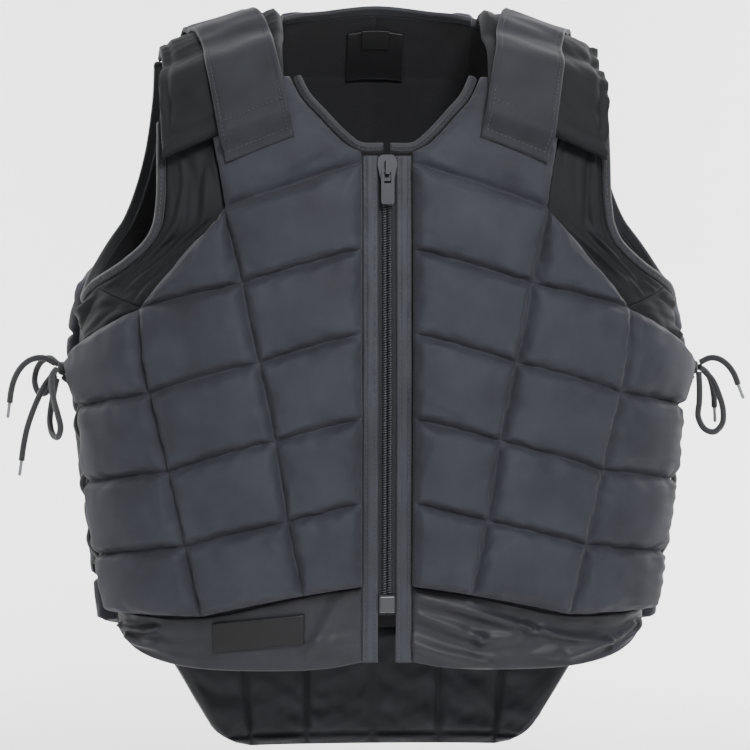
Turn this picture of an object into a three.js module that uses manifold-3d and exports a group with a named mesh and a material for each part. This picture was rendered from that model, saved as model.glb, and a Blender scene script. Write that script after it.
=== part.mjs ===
// Child's riding body protector: a sleeveless padded vest with a front zip, foam-block quilting,
// shoulder flaps held down by straps, laced sides and a tail guard, shown in its worn form.
// Millimetres. +Z is up, -Y is the front and +X is the wearer's left. The origin is on the centre
// plane, level with the middle of the shoulders where the vest rests on its wearer.
import * as THREE from 'three';
import { mergeVertices } from 'three/addons/utils/BufferGeometryUtils.js';
import Module from 'manifold-3d';

const wasm = await Module();
wasm.setup();

// Body form: the lining surface, which every padded piece is built out from
const CHEST_HALF_WIDTH = 214;
const FRONT_DEPTH = 98;
const BACK_DEPTH = 82;
const BODY_DROP = 450;
const SQUARENESS = 2.4;
const ARCH_BASE = -130;
const SHOULDER_SEAT_X = 139;
const SHOULDER_SLOPE = 0.35;
// Half-width over which the two shoulders' slopes round into each other at the nape
const NAPE_ROUND = 30;
// Length of arch that one quarter turn over the shoulder counts for
const ARCH = 150;

// Thicknesses and clearances
const PAD = 17;
const SHOULDER_PAD = 11;
const BACK_PAD = 15;
const TAIL_PAD = 13;
const FLAP_PAD = 9;
const SEAM = 4.5;
const CROWN = 2;
const CLOTH = 2.4;
const STRAP_THICKNESS = 3;
const GAP = 0.3;
const LAYER_GAP = 0.6;
const CURVE_GAP = 1.2;

// Front opening and quilting
const FIRST_ROW_DROP = 90.5;
const ROW_PITCH = 60;
const ROWS = 6;
const PLACKET_EDGE = 18;
const TEETH_HALF_WIDTH = 3;
const TAPE_HALF_WIDTH = 15;
const TAPE_THICKNESS = 1;
const PLACKET_INNER = 6.6;
const BAND_THICKNESS = 2.5;
const ZIP_TOP_DROP = 84;
const ZIP_BOTTOM_DROP = 397;
const ZIP_TAIL = 15;
const ZIP_BOX_LENGTH = 13;
const ZIP_BOX_RISE = 1.2;
const HEM_DROP = 446;

// Edges
const SIDE_CLOTH = 2;
const FACING_FOLD = 0.8;
const FACING_TOP_STEP = 3;
const BINDING_WIDTH = 6.5;
const BINDING_HEIGHT = 5;
const NECK_HALF_WIDTH = 76;
const NECK_DROP = 78;
const SHOULDER_HALF_WIDTH = 166;
const ARMHOLE_DROP = 186;
const FRONT_SIDE_ANGLE = 78;
const BACK_SIDE_ANGLE = 94;

// Back and tail guard
const BACK_COLUMN = 52;
const TAIL_BOTTOM_DROP = 530;
const TAIL_TOP_HALF_WIDTH = 168;
const TAIL_BOTTOM_HALF_WIDTH = 112;

// Zip slider and pull
const SLIDER_DROP = 93;
const SLIDER_WIDTH = 14;
const SLIDER_LENGTH = 19;
const SLIDER_PLATE = 1.8;
const BRIDGE_WIDTH = 3;
const BRIDGE_LENGTH = 10.4;
const BRIDGE_WALL = 1.4;
const BRIDGE_CLEAR = 3.3;
const PULL_WIDTH = 9.4;
const PULL_LENGTH = 25;
const PULL_THICKNESS = 1.4;
const PULL_BAR = 1.8;
const PULL_WINDOW_WIDTH = 5;
const PULL_WINDOW_LENGTH = 8;

// Side lacing
const LACE_DIAMETER = 4.6;
const LACE_ROWS = 4;
const LACE_TOP_DROP = 258;
const LACE_PITCH = 42;
const LACE_STRIP_WIDTH = 9;
const LACE_STRIP_THICKNESS = 1.4;
const LACE_STRIP_END = 14;
const LACE_LOOP_WALL = 1.3;
const LACE_LOOP_DEPTH = 6;
const LACE_STRAIGHT = 2.5;
const AGLET_DIAMETER = 2.6;
const AGLET_LENGTH = 11;

// Labels, left bare
const PATCH_WIDTH = 66;
const PATCH_HEIGHT = 21;
const PATCH_THICKNESS = 1.2;
const NECK_LABEL_WIDTH = 44;
const NECK_LABEL_HEIGHT = 38;
const SIZE_TAG_WIDTH = 22;
const SIZE_TAG_HEIGHT = 17;

const QUARTER = Math.PI / 2;
const lerp = THREE.MathUtils.lerp;
const radians = THREE.MathUtils.degToRad;
const steps = (count) => Array.from({ length: count + 1 }, (_, i) => i / count);

function ease(value, from, to) {
  const t = THREE.MathUtils.clamp((value - from) / (to - from), 0, 1);
  return t * t * (3 - 2 * t);
}

// Horizontal sections: drop as a share of BODY_DROP, then shares of the half-width and both depths
const SECTIONS = [
  { drop: 0.29, width: 0.985, front: 0.96, back: 1.0 },
  { drop: 0.49, width: 1.02, front: 1.0, back: 1.0 },
  { drop: 0.58, width: 1.0, front: 1.0, back: 0.97 },
  { drop: 0.7, width: 0.975, front: 0.98, back: 0.93 },
  { drop: 0.88, width: 0.93, front: 0.94, back: 0.92 },
  { drop: 1.0, width: 0.9, front: 0.9, back: 0.94 },
  { drop: 1.17, width: 0.86, front: 0.86, back: 0.98 },
];

function sectionAt(height) {
  const drop = -height / BODY_DROP;
  const last = SECTIONS.length - 2;
  let i = SECTIONS.findIndex((row, k) => k <= last && drop <= SECTIONS[k + 1].drop);
  i = i < 0 ? last : i;
  const [a, b] = [SECTIONS[i], SECTIONS[i + 1]];
  const before = SECTIONS[Math.max(i - 1, 0)];
  const after = SECTIONS[Math.min(i + 2, last + 1)];
  const t = THREE.MathUtils.clamp((drop - a.drop) / (b.drop - a.drop), 0, 1.2);
  const blend = (key) => {
    const slopeA = (b[key] - before[key]) / (b.drop - before.drop) * (b.drop - a.drop);
    const slopeB = (after[key] - a[key]) / (after.drop - a.drop) * (b.drop - a.drop);
    const t2 = t * t;
    const t3 = t2 * t;
    return (2 * t3 - 3 * t2 + 1) * a[key] + (t3 - 2 * t2 + t) * slopeA
      + (3 * t2 - 2 * t3) * b[key] + (t3 - t2) * slopeB;
  };
  return {
    half: CHEST_HALF_WIDTH * blend('width'),
    front: FRONT_DEPTH * blend('front'),
    back: BACK_DEPTH * blend('back'),
  };
}

// Height of the shoulder's ridge over the arch's base, at a distance from the centre plane
const ridgeRise = (x) => SHOULDER_SLOPE * (SHOULDER_SEAT_X - Math.hypot(x, NAPE_ROUND)) - ARCH_BASE;

// A point of the lining surface: phi turns from the front centre to +X, and h is its height,
// or above ARCH_BASE the way along the arch that runs over the shoulder from front to back
function lining(phi, h) {
  const level = Math.min(h, ARCH_BASE);
  const { half, front, back } = sectionAt(level);
  const power = 2 / SQUARENESS;
  const sine = Math.sin(phi);
  const cosine = Math.cos(phi);
  const x = half * Math.sign(sine) * Math.abs(sine) ** power;
  const [near, far] = cosine > 0 ? [-front, back] : [back, -front];
  const share = Math.abs(cosine) ** power;
  if (h <= ARCH_BASE) {
    return new THREE.Vector3(x, near * share, h);
  }
  const turn = (h - ARCH_BASE) / ARCH * QUARTER;
  const depth = turn <= QUARTER ? near : far;
  return new THREE.Vector3(
    x, depth * share * Math.abs(Math.cos(turn)), ARCH_BASE + ridgeRise(x) * Math.sin(turn));
}

function outward(phi, h) {
  const small = 0.004;
  const side = Math.sign(Math.cos(phi)) || 1;
  const away = Math.abs(Math.cos(phi)) < 3 * small ? 4 * small : 0;
  const at = phi - Math.sign(Math.sin(phi)) * away * side;
  const alongPhi = lining(at + small, h).sub(lining(at - small, h));
  const alongH = lining(at, h + 1).sub(lining(at, h - 1));
  return alongPhi.cross(alongH).normalize();
}

const skin = (phi, h, out) => lining(phi, h).addScaledVector(outward(phi, h), out);

// The place (phi, h) of a point at distance x from the centre plane and height z
function place(x, z, side = 'front') {
  const half = sectionAt(Math.min(z, ARCH_BASE)).half + SEAM;
  const angle = Math.asin(Math.min(Math.abs(x) / half, 1) ** (SQUARENESS / 2));
  const phi = side === 'front' ? angle : Math.PI - angle;
  const climb = Math.min((z - ARCH_BASE) / ridgeRise(x), 1);
  return { phi, h: z <= ARCH_BASE ? z : ARCH_BASE + ARCH * Math.asin(climb) / QUARTER };
}

// The same for a point on the shoulder's arch, with its turn in degrees up from the front or back
function placeOnArch(x, degrees, side = 'front') {
  const { phi } = place(x, ARCH_BASE, side);
  return { phi, h: ARCH_BASE + ARCH * degrees / 90 };
}

const line = (a, b) => (t) => ({ phi: lerp(a.phi, b.phi, t), h: lerp(a.h, b.h, t) });
const stretch = (rail, from, to) => (t) => rail(lerp(from, to, t));

const RAIL_SCALE = 180;
function smooth(points) {
  const curve = new THREE.CatmullRomCurve3(
    points.map((p) => new THREE.Vector3(p.phi * RAIL_SCALE, p.h, 0)), false, 'centripetal');
  curve.arcLengthDivisions = 400;
  return (t) => {
    const p = curve.getPointAt(THREE.MathUtils.clamp(t, 0, 1));
    return { phi: p.x / RAIL_SCALE, h: p.y };
  };
}

// A rail that runs beside another at a distance, to its left when positive
function beside(rail, distance) {
  return (t) => {
    const small = 0.004;
    const from = rail(Math.max(t - small, 0));
    const to = rail(Math.min(t + small, 1));
    const at = rail(t);
    const wide = lining(at.phi + 0.01, at.h).distanceTo(lining(at.phi - 0.01, at.h)) / 0.02;
    const tall = lining(at.phi, at.h + 1).distanceTo(lining(at.phi, at.h - 1)) / 2;
    const along = new THREE.Vector2((to.phi - from.phi) * wide, (to.h - from.h) * tall).normalize();
    return { phi: at.phi - along.y * distance / wide, h: at.h + along.x * distance / tall };
  };
}

function railAtHeight(rail, height, from, to) {
  const count = 400;
  let best = from;
  for (let i = 0; i <= count; i += 1) {
    const t = lerp(from, to, i / count);
    if (Math.abs(rail(t).h - height) < Math.abs(rail(best).h - height)) {
      best = t;
    }
  }
  return best;
}

// A soft wall on the lining surface, between an inner and an outer distance from it
class Wall {
  constructor() {
    this.points = [];
    this.lookup = new Map();
    this.faces = [];
  }

  point(phi, h, inner, outer) {
    const key = `${phi.toFixed(5)} ${h.toFixed(3)}`;
    if (!this.lookup.has(key)) {
      this.lookup.set(key, this.points.length);
      this.points.push({ phi, h, inner, outer });
    }
    return this.lookup.get(key);
  }

  patch(railA, railB, across, down, inner, outer) {
    const rows = down.map((v) => {
      const a = railA(v);
      const b = railB(v);
      return across.map((u) => this.point(
        lerp(a.phi, b.phi, u), lerp(a.h, b.h, u), inner(u, v), outer(u, v)));
    });
    for (let i = 0; i + 1 < rows.length; i += 1) {
      for (let j = 0; j + 1 < across.length; j += 1) {
        this.cell(rows[i][j], rows[i][j + 1], rows[i + 1][j + 1], rows[i + 1][j]);
      }
    }
    return this;
  }

  // A cell as two triangles, cut along the diagonal that lies inside it
  cell(a, b, c, d) {
    const inside = this.area(a, b, c) * this.area(a, c, d) >= 0;
    const halves = inside ? [[a, b, c], [a, c, d]] : [[a, b, d], [b, c, d]];
    halves.forEach((corners) => this.face(...corners));
  }

  area(a, b, c) {
    const [p, q, r] = [a, b, c].map((i) => this.points[i]);
    return (q.phi - p.phi) * (r.h - p.h) - (r.phi - p.phi) * (q.h - p.h);
  }

  face(a, b, c) {
    const area = this.area(a, b, c);
    if (Math.abs(area) > 1e-6) {
      this.faces.push(area > 0 ? [a, b, c] : [a, c, b]);
    }
  }

  geometry(mirrored = false) {
    const count = this.points.length;
    const flip = mirrored ? -1 : 1;
    const positions = [];
    for (const distance of ['outer', 'inner']) {
      for (const p of this.points) {
        const v = skin(p.phi, p.h, p[distance]);
        positions.push(v.x * flip, v.y, v.z);
      }
    }
    const edges = new Set(this.faces.flatMap(
      ([a, b, c]) => [`${a} ${b}`, `${b} ${c}`, `${c} ${a}`]));
    const triangles = this.faces.flatMap(
      ([a, b, c]) => [[a, b, c], [a + count, c + count, b + count]]);
    for (const edge of edges) {
      const [a, b] = edge.split(' ').map(Number);
      if (!edges.has(`${b} ${a}`)) {
        triangles.push([b, a, a + count], [b, a + count, b + count]);
      }
    }
    const geometry = new THREE.BufferGeometry();
    geometry.setAttribute('position', new THREE.Float32BufferAttribute(positions, 3));
    geometry.setIndex(triangles.flatMap(([a, b, c]) => (mirrored ? [a, c, b] : [a, b, c])));
    geometry.computeVertexNormals();
    return geometry;
  }
}

const flat = (value) => () => value;

// Foam blocks: flat-topped pillows that fall to the seam's thickness at their edges
const BLOCK_EDGE = 0.17;
const PILLOW_EDGE = 0.12;
const BLOCK_STOPS = [0, BLOCK_EDGE, 1 - BLOCK_EDGE, 1];
const WIDE_STOPS = [0, PILLOW_EDGE, 0.5, 1 - PILLOW_EDGE, 1];
const MIDDLE_STOPS = [0, BLOCK_EDGE, 0.5, 1 - BLOCK_EDGE, 1];
const HALF_STOPS = [0, 0.5, 1];

// A rise from 0 at both ends of t to 1 within an edge of the given width
const shoulder = (t, edge) => Math.sin(QUARTER * Math.min(1, Math.min(t, 1 - t) / edge));

function pillow(pad) {
  return (u, v) => SEAM + (pad - SEAM + CROWN * Math.sin(Math.PI * u) * Math.sin(Math.PI * v))
    * shoulder(u, PILLOW_EDGE) * shoulder(v, PILLOW_EDGE);
}

const COLOURS = {
  panel: 0x42454b, strap: 0x3d3e43, binding: 0x4a4b4f, dark: 0x26272e, lace: 0x1f2023, label: 0x1b1c1f,
  zip: 0x2b2c30, slider: 0x3b3d40, pull: 0x2f3134, aglet: 0x6b6d70,
};
const surface = (roughness, metalness) => (color) => (
  new THREE.MeshStandardMaterial({ color, roughness, metalness }));
const cloth = surface(0.7, 0);
const plastic = surface(0.4, 0);
const metal = surface(0.35, 0.8);

const vest = new THREE.Group();

function add(name, geometry, material, parent = vest) {
  const mesh = new THREE.Mesh(geometry, material);
  mesh.name = name;
  parent.add(mesh);
  return mesh;
}

function addPair(name, wall, colour) {
  add(`${name}_left`, wall.geometry(false), cloth(colour));
  add(`${name}_right`, wall.geometry(true), cloth(colour));
}

// Quilting of one front panel. Each row seam gives its drop below the zip edge, as shares of
// ROW_PITCH, and its place on the two slanting seams, as shares of CHEST_HALF_WIDTH
const FRONT_SEAMS = [
  { innerDrop: 0.51, innerX: 0.544 },
  { innerDrop: 0.41, innerX: 0.484, outerDrop: 0.71, outerX: 0.819 },
  { innerDrop: 0.34, innerX: 0.43, outerDrop: 0.7, outerX: 0.785, sideDrop: 0.89, sideTurn: 1.0 },
  { innerDrop: 0.26, innerX: 0.376, outerDrop: 0.63, outerX: 0.724, sideDrop: 0.8, sideTurn: 1.0 },
  { innerDrop: 0.22, innerX: 0.336, outerDrop: 0.53, outerX: 0.671, sideDrop: 0.68, sideTurn: 0.985 },
  { innerDrop: 0.11, innerX: 0.285, outerDrop: 0.37, outerX: 0.618, sideDrop: 0.37, sideTurn: 0.945 },
];
const SIDE_TOP = { drop: 231, turn: 1.1 };

const rowHeight = (row) => -(FIRST_ROW_DROP + row * ROW_PITCH);
const frontEdge = PLACKET_EDGE + GAP;
const seamNode = (row, which) => {
  const seam = FRONT_SEAMS[row];
  if (which === 'zip') {
    return place(frontEdge, rowHeight(row));
  }
  const height = rowHeight(row) - seam[`${which}Drop`] * ROW_PITCH;
  if (which === 'side') {
    return { phi: radians(FRONT_SIDE_ANGLE) * seam.sideTurn, h: height };
  }
  return place(seam[`${which}X`] * CHEST_HALF_WIDTH, height);
};
const sideTop = { phi: radians(FRONT_SIDE_ANGLE) * SIDE_TOP.turn, h: -SIDE_TOP.drop };

// Neckline from the zip to the shoulder, as shares of the neck's half-width and drop
const NECKLINE = [
  { x: 0, drop: 1.0 },
  { x: 0.26, drop: 0.99 },
  { x: 0.42, drop: 0.88 },
  { x: 0.6, drop: 0.7 },
  { x: 0.76, drop: 0.53 },
  { x: 0.86, drop: 0.34 },
];
const neckFront = smooth(NECKLINE.map((p) => place(p.x * NECK_HALF_WIDTH, -p.drop * NECK_DROP)));

// Armhole from the front of the shoulder, under the arm and up the back: shares of the way out from
// the shoulder's half-width to the chest's, and shares of the armhole's drop
const ARMHOLE_FRONT = [
  { out: -0.052, drop: 0.3 },
  { out: -0.052, drop: 0.45 },
  { out: -0.035, drop: 0.64 },
  { out: 0.104, drop: 0.765 },
  { out: 0.484, drop: 0.86 },
  { out: 0.951, drop: 0.94 },
];
const ARMHOLE_BACK = [
  { out: 1.003, drop: 0.9 },
  { out: 0.761, drop: 0.79 },
  { out: 0.415, drop: 0.64 },
  { out: 0.173, drop: 0.44 },
  { out: 0.035, drop: 0.22 },
];
const armholePlace = (side) => (p) => (
  place(lerp(SHOULDER_HALF_WIDTH, CHEST_HALF_WIDTH, p.out), -p.drop * ARMHOLE_DROP, side));
const BACK_TOP_TURN = 78;
const armhole = smooth([
  ...ARMHOLE_FRONT.map(armholePlace('front')),
  { phi: QUARTER, h: -ARMHOLE_DROP },
  ...ARMHOLE_BACK.map(armholePlace('back')),
  placeOnArch(SHOULDER_HALF_WIDTH, BACK_TOP_TURN, 'back'),
]);
const bindingRoom = BINDING_WIDTH / 2 + GAP;

// Where the armhole passes from one piece to the next, as shares of its length
const FACING_END = 0.33;
const SIDE_START = 0.46;
const SIDE_END = 0.53;
const ARM_BINDING_END = 0.985;
const inArmhole = beside(armhole, -bindingRoom - LAYER_GAP);

// Front panels, each of one tall shoulder block and rows of foam blocks between the seams
const PANEL_TOP_TURN = 45;
const BLOCK_OUTER_TOP = { x: 0.81, middleX: 0.745, middleDrop: 0.43 };
const NECK_SHARE = 0.1;
const neckEdge = beside(neckFront, -bindingRoom - LAYER_GAP);
const neckCorner = place(frontEdge + GAP, -(NECK_DROP + bindingRoom));
const NECK_KNOTS = [0.25, 0.33, 0.42, 0.52, 0.64, 0.76, 0.88, 1];
const neckSide = smooth([neckCorner, ...NECK_KNOTS.map((t) => neckEdge(t))]);
const neckRun = (t) => (t < NECK_SHARE
  ? line(seamNode(0, 'zip'), neckCorner)(t / NECK_SHARE)
  : neckSide((t - NECK_SHARE) / (1 - NECK_SHARE)));
const shoulderRun = smooth([
  seamNode(0, 'inner'),
  place(BLOCK_OUTER_TOP.middleX * SHOULDER_HALF_WIDTH, -BLOCK_OUTER_TOP.middleDrop * ARMHOLE_DROP),
  placeOnArch(BLOCK_OUTER_TOP.x * SHOULDER_HALF_WIDTH, PANEL_TOP_TURN),
]);

function frontPanel() {
  const wall = new Wall();
  const topStops = [0, ...steps(10).map((t) => lerp(NECK_SHARE, 1, t))];
  wall.patch(neckRun, shoulderRun, WIDE_STOPS, topStops, flat(0), pillow(SHOULDER_PAD));
  const columns = [['zip', 'inner'], ['inner', 'outer'], ['outer', 'side']];
  const above = (row, which) => {
    if (row === 0 && which === 'outer') {
      return seamNode(0, 'inner');
    }
    return row === 1 && which === 'side' ? sideTop : seamNode(row, which);
  };
  const seam = (row, which) => line(above(row, which), seamNode(row + 1, which));
  for (let row = 0; row + 1 < ROWS; row += 1) {
    for (const [left, right] of columns.slice(0, row + 2)) {
      wall.patch(seam(row, left), seam(row, right),
        left === 'zip' ? WIDE_STOPS : BLOCK_STOPS, BLOCK_STOPS, flat(0), pillow(PAD));
    }
  }
  return wall;
}
addPair('front_panel', frontPanel(), COLOURS.panel);

// Soft cloth facing between the front panel and the armhole, gathered in folds
const folded = (rise, count) => (u, v) => (
  rise + FACING_FOLD * Math.sin(Math.PI * count * v) * Math.sin(Math.PI * u));
const facingInner = smooth([
  placeOnArch(BLOCK_OUTER_TOP.x * SHOULDER_HALF_WIDTH, PANEL_TOP_TURN - FACING_TOP_STEP),
  place(BLOCK_OUTER_TOP.middleX * SHOULDER_HALF_WIDTH, -BLOCK_OUTER_TOP.middleDrop * ARMHOLE_DROP),
  seamNode(0, 'inner'),
]);
const facingDiagonal = line(seamNode(0, 'inner'), seamNode(1, 'outer'));
const FACING_SPLIT = 0.55;

const FACING_LIFT = 1;
const CORNER_SHARE = 0.97;

function armholeFacing() {
  const inner = (t) => (t < FACING_SPLIT
    ? beside(facingInner, LAYER_GAP)(t / FACING_SPLIT)
    : beside(facingDiagonal, LAYER_GAP)(CORNER_SHARE * (t - FACING_SPLIT) / (1 - FACING_SPLIT)));
  const stops = [
    ...steps(6).map((t) => t * FACING_SPLIT), ...steps(6).slice(1).map((t) => lerp(FACING_SPLIT, 1, t))];
  return new Wall().patch(inner, stretch(inArmhole, 0, FACING_END - 0.005), HALF_STOPS, stops,
    folded(FACING_LIFT, 5), folded(FACING_LIFT + CLOTH, 5));
}
addPair('armhole_facing', armholeFacing(), COLOURS.strap);

// Soft cloth gusset under the front of the arm, down to the padded side blocks
function sideGusset() {
  const lower = line(seamNode(1, 'outer'), sideTop);
  return new Wall().patch(
    stretch(beside(lower, LAYER_GAP), 1 - CORNER_SHARE, 1),
    stretch(inArmhole, FACING_END + 0.01, SIDE_START),
    HALF_STOPS, steps(8), folded(FACING_LIFT, 4), folded(FACING_LIFT + CLOTH, 4));
}
addPair('side_gusset', sideGusset(), COLOURS.strap);

// Unpadded cloth skirt below the last row seam, hanging to the hem
const HEM_LINE = [
  { x: 0, drop: 1.0 },
  { x: 0.2, drop: 1.01 },
  { x: 0.45, drop: 1.015 },
  { x: 0.7, drop: 1.01 },
  { x: 0.86, drop: 0.985 },
];
const HEM_END = { turn: 0.97, drop: 0.955 };
const HEM_FOLDS = 7;
const hemLine = smooth([
  ...HEM_LINE.map((p) => place(Math.max(p.x * CHEST_HALF_WIDTH, frontEdge), -p.drop * HEM_DROP)),
  { phi: radians(FRONT_SIDE_ANGLE) * HEM_END.turn, h: -HEM_END.drop * HEM_DROP },
]);
const lastRow = ROWS - 1;
const hemTop = smooth(['zip', 'inner', 'outer', 'side'].map((which) => seamNode(lastRow, which)));

function hemSkirt() {
  return new Wall().patch(beside(hemTop, -LAYER_GAP * 2), hemLine, HALF_STOPS, steps(2 * HEM_FOLDS),
    folded(LAYER_GAP, HEM_FOLDS), folded(LAYER_GAP + CLOTH, HEM_FOLDS));
}
addPair('hem_skirt', hemSkirt(), COLOURS.dark);

// Zip: tapes at the back, then teeth and the stitched placket bands over them
const zipLine = (x, top, bottom) => (t) => place(x, -lerp(top, bottom, t));
const ZIP_STOPS = steps(9);
const ROUND_STOPS = [0, BLOCK_EDGE, 1 - BLOCK_EDGE, 1];
const tapeTop = GAP + TAPE_THICKNESS;
const bandInner = tapeTop + GAP;
const bandOuter = bandInner + BAND_THICKNESS;
const tapeEdge = (x) => zipLine(x, ZIP_TOP_DROP, ZIP_BOTTOM_DROP + ZIP_TAIL);
const bandEdge = (x) => zipLine(x, ZIP_TOP_DROP, HEM_DROP);
// A strip's top that is lower along both of its edges
const rounded = (from, thickness) => (u) => from + thickness * (0.6 + 0.4 * shoulder(u, BLOCK_EDGE));

addPair('zip_tape', new Wall().patch(tapeEdge(GAP), tapeEdge(TAPE_HALF_WIDTH), [0, 1], ZIP_STOPS,
  flat(GAP), flat(tapeTop)), COLOURS.dark);
addPair('placket_band', new Wall().patch(bandEdge(PLACKET_INNER), bandEdge(PLACKET_EDGE), ROUND_STOPS,
  ZIP_STOPS, flat(bandInner), rounded(bandInner, BAND_THICKNESS)), COLOURS.strap);

function centredWall(halfWidth, top, bottom, down, outer) {
  const edge = zipLine(halfWidth, top, bottom);
  const mirrored = (t) => ({ phi: -edge(t).phi, h: edge(t).h });
  return new Wall().patch(mirrored, edge, ROUND_STOPS, down, flat(bandInner), outer).geometry();
}
add('zip_teeth', centredWall(TEETH_HALF_WIDTH, ZIP_TOP_DROP + LAYER_GAP, ZIP_BOTTOM_DROP - GAP, ZIP_STOPS,
  rounded(bandInner, BAND_THICKNESS)), plastic(COLOURS.zip));
add('zip_bottom_box', centredWall(PLACKET_INNER - GAP, ZIP_BOTTOM_DROP, ZIP_BOTTOM_DROP + ZIP_BOX_LENGTH,
  ROUND_STOPS, (u, v) => bandOuter + ZIP_BOX_RISE * shoulder(u, BLOCK_EDGE) * shoulder(v, BLOCK_EDGE)),
plastic(COLOURS.zip));

// Joins and cuts closed solids
function solid(geometry) {
  const bare = geometry.clone();
  bare.deleteAttribute('normal');
  bare.deleteAttribute('uv');
  const merged = mergeVertices(bare, 1e-4);
  return new wasm.Manifold(new wasm.Mesh({
    numProp: 3,
    vertProperties: new Float32Array(merged.attributes.position.array),
    triVerts: new Uint32Array(merged.index.array),
  }));
}

function toGeometry(manifold) {
  const mesh = manifold.getMesh();
  const geometry = new THREE.BufferGeometry();
  geometry.setAttribute('position', new THREE.BufferAttribute(mesh.vertProperties, 3));
  geometry.setIndex(new THREE.BufferAttribute(mesh.triVerts, 1));
  geometry.computeVertexNormals();
  return geometry;
}

// Slider, in a frame that leans with the chest: local X across, local -Y out, local Z up
const zipPlace = place(0, -SLIDER_DROP);
const sliderFrame = new THREE.Group();
const sliderFace = bandOuter + LAYER_GAP;
sliderFrame.position.copy(skin(0, zipPlace.h, sliderFace));
const lean = outward(0, zipPlace.h);
sliderFrame.rotation.x = -Math.atan2(lean.z, -lean.y);
vest.add(sliderFrame);

const box = (width, depth, height, y, z) => (
  new THREE.BoxGeometry(width, depth, height).translate(0, y, z));

// A plate drawn in X and Z and given a thickness towards local -Y from the depth it starts at
function plate(shape, thickness, start) {
  return new THREE.ExtrudeGeometry(shape, { depth: thickness, bevelEnabled: false, curveSegments: 5 })
    .rotateX(QUARTER).translate(0, -start, 0);
}

function sliderBody() {
  const half = SLIDER_WIDTH / 2;
  const foot = 0.66 * half;
  const crown = 0.4 * half;
  const waist = 0.1 * SLIDER_LENGTH;
  const shape = new THREE.Shape();
  shape.moveTo(-foot, -SLIDER_LENGTH / 2);
  shape.lineTo(foot, -SLIDER_LENGTH / 2);
  shape.lineTo(half, waist);
  shape.quadraticCurveTo(half, SLIDER_LENGTH / 2, crown, SLIDER_LENGTH / 2);
  shape.lineTo(-crown, SLIDER_LENGTH / 2);
  shape.quadraticCurveTo(-half, SLIDER_LENGTH / 2, -half, waist);
  const bridgeRise = BRIDGE_CLEAR + BRIDGE_WALL;
  const sink = SLIDER_PLATE / 2;
  const leg = (z) => (
    box(BRIDGE_WIDTH, bridgeRise + sink, BRIDGE_WALL, -SLIDER_PLATE - (bridgeRise - sink) / 2, z));
  const reach = (BRIDGE_LENGTH - BRIDGE_WALL) / 2;
  const bridge = box(
    BRIDGE_WIDTH, BRIDGE_WALL, BRIDGE_LENGTH, -SLIDER_PLATE - BRIDGE_CLEAR - BRIDGE_WALL / 2, 0);
  return toGeometry([leg(reach), leg(-reach), bridge].reduce(
    (body, piece) => body.add(solid(piece)), solid(plate(shape, SLIDER_PLATE, 0))));
}
add('zip_slider', sliderBody(), metal(COLOURS.slider), sliderFrame);

// The pull hangs by its top bar under the slider's bridge and lies on the zip
const pivotOut = SLIDER_PLATE + BRIDGE_CLEAR / 2;
const pivotUp = -BRIDGE_LENGTH / 2 + BRIDGE_WALL + PULL_BAR / 2 + GAP * 1.5;

function pullTab() {
  const half = PULL_WIDTH / 2;
  const top = PULL_BAR / 2;
  const bottom = top - PULL_LENGTH;
  const hip = lerp(top, bottom, 0.25);
  const turn = lerp(top, bottom, 0.9);
  const shape = new THREE.Shape();
  shape.moveTo(-half * 0.8, top);
  shape.lineTo(-half, hip);
  shape.lineTo(-half, turn);
  shape.quadraticCurveTo(-half, bottom, -half * 0.6, bottom);
  shape.lineTo(half * 0.6, bottom);
  shape.quadraticCurveTo(half, bottom, half, turn);
  shape.lineTo(half, hip);
  shape.lineTo(half * 0.8, top);
  const hole = new THREE.Path();
  const edge = PULL_WINDOW_WIDTH / 2;
  hole.moveTo(-edge, -top);
  hole.lineTo(edge, -top);
  hole.lineTo(edge, -top - PULL_WINDOW_LENGTH);
  hole.lineTo(-edge, -top - PULL_WINDOW_LENGTH);
  shape.holes.push(hole);
  return plate(shape, PULL_THICKNESS, -PULL_THICKNESS / 2);
}
add('zip_pull', pullTab(), metal(COLOURS.pull), sliderFrame).position.set(0, -pivotOut, pivotUp);

// Neck binding: a folded band over the raw edge, in two front pieces and one back piece
const bindingTop = (u) => BINDING_HEIGHT * (0.55 + 0.45 * Math.sin(Math.PI * u));
function binding(rail, from, to, count) {
  const edge = (distance) => stretch(beside(rail, distance), from, to);
  return new Wall().patch(
    edge(-BINDING_WIDTH / 2), edge(BINDING_WIDTH / 2), HALF_STOPS, steps(count), flat(0), bindingTop);
}
addPair('neck_binding', binding(neckFront, 0.015, 0.97, 15), COLOURS.binding);

// Back panel. Each row gives its drop as a share of BODY_DROP and how far out the seam beside
// the middle column and the next one stand, as shares of BACK_COLUMN
const BACK_ROWS = [
  { drop: 0.045, first: 1.4, second: 2.2 },
  { drop: 0.178, first: 1.15, second: 2.08 },
  { drop: 0.311, first: 1.0, second: 2.0 },
  { drop: 0.444, first: 1.0, second: 2.0, third: 3.05 },
  { drop: 0.578, first: 1.0, second: 2.0, third: 3.05 },
  { drop: 0.711, first: 1.0, second: 2.0, third: 3.0 },
  { drop: 0.844, first: 1.0, second: 2.0, third: 2.95 },
  { drop: 0.978, first: 1.0, second: 2.0, third: 2.9 },
];

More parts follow.
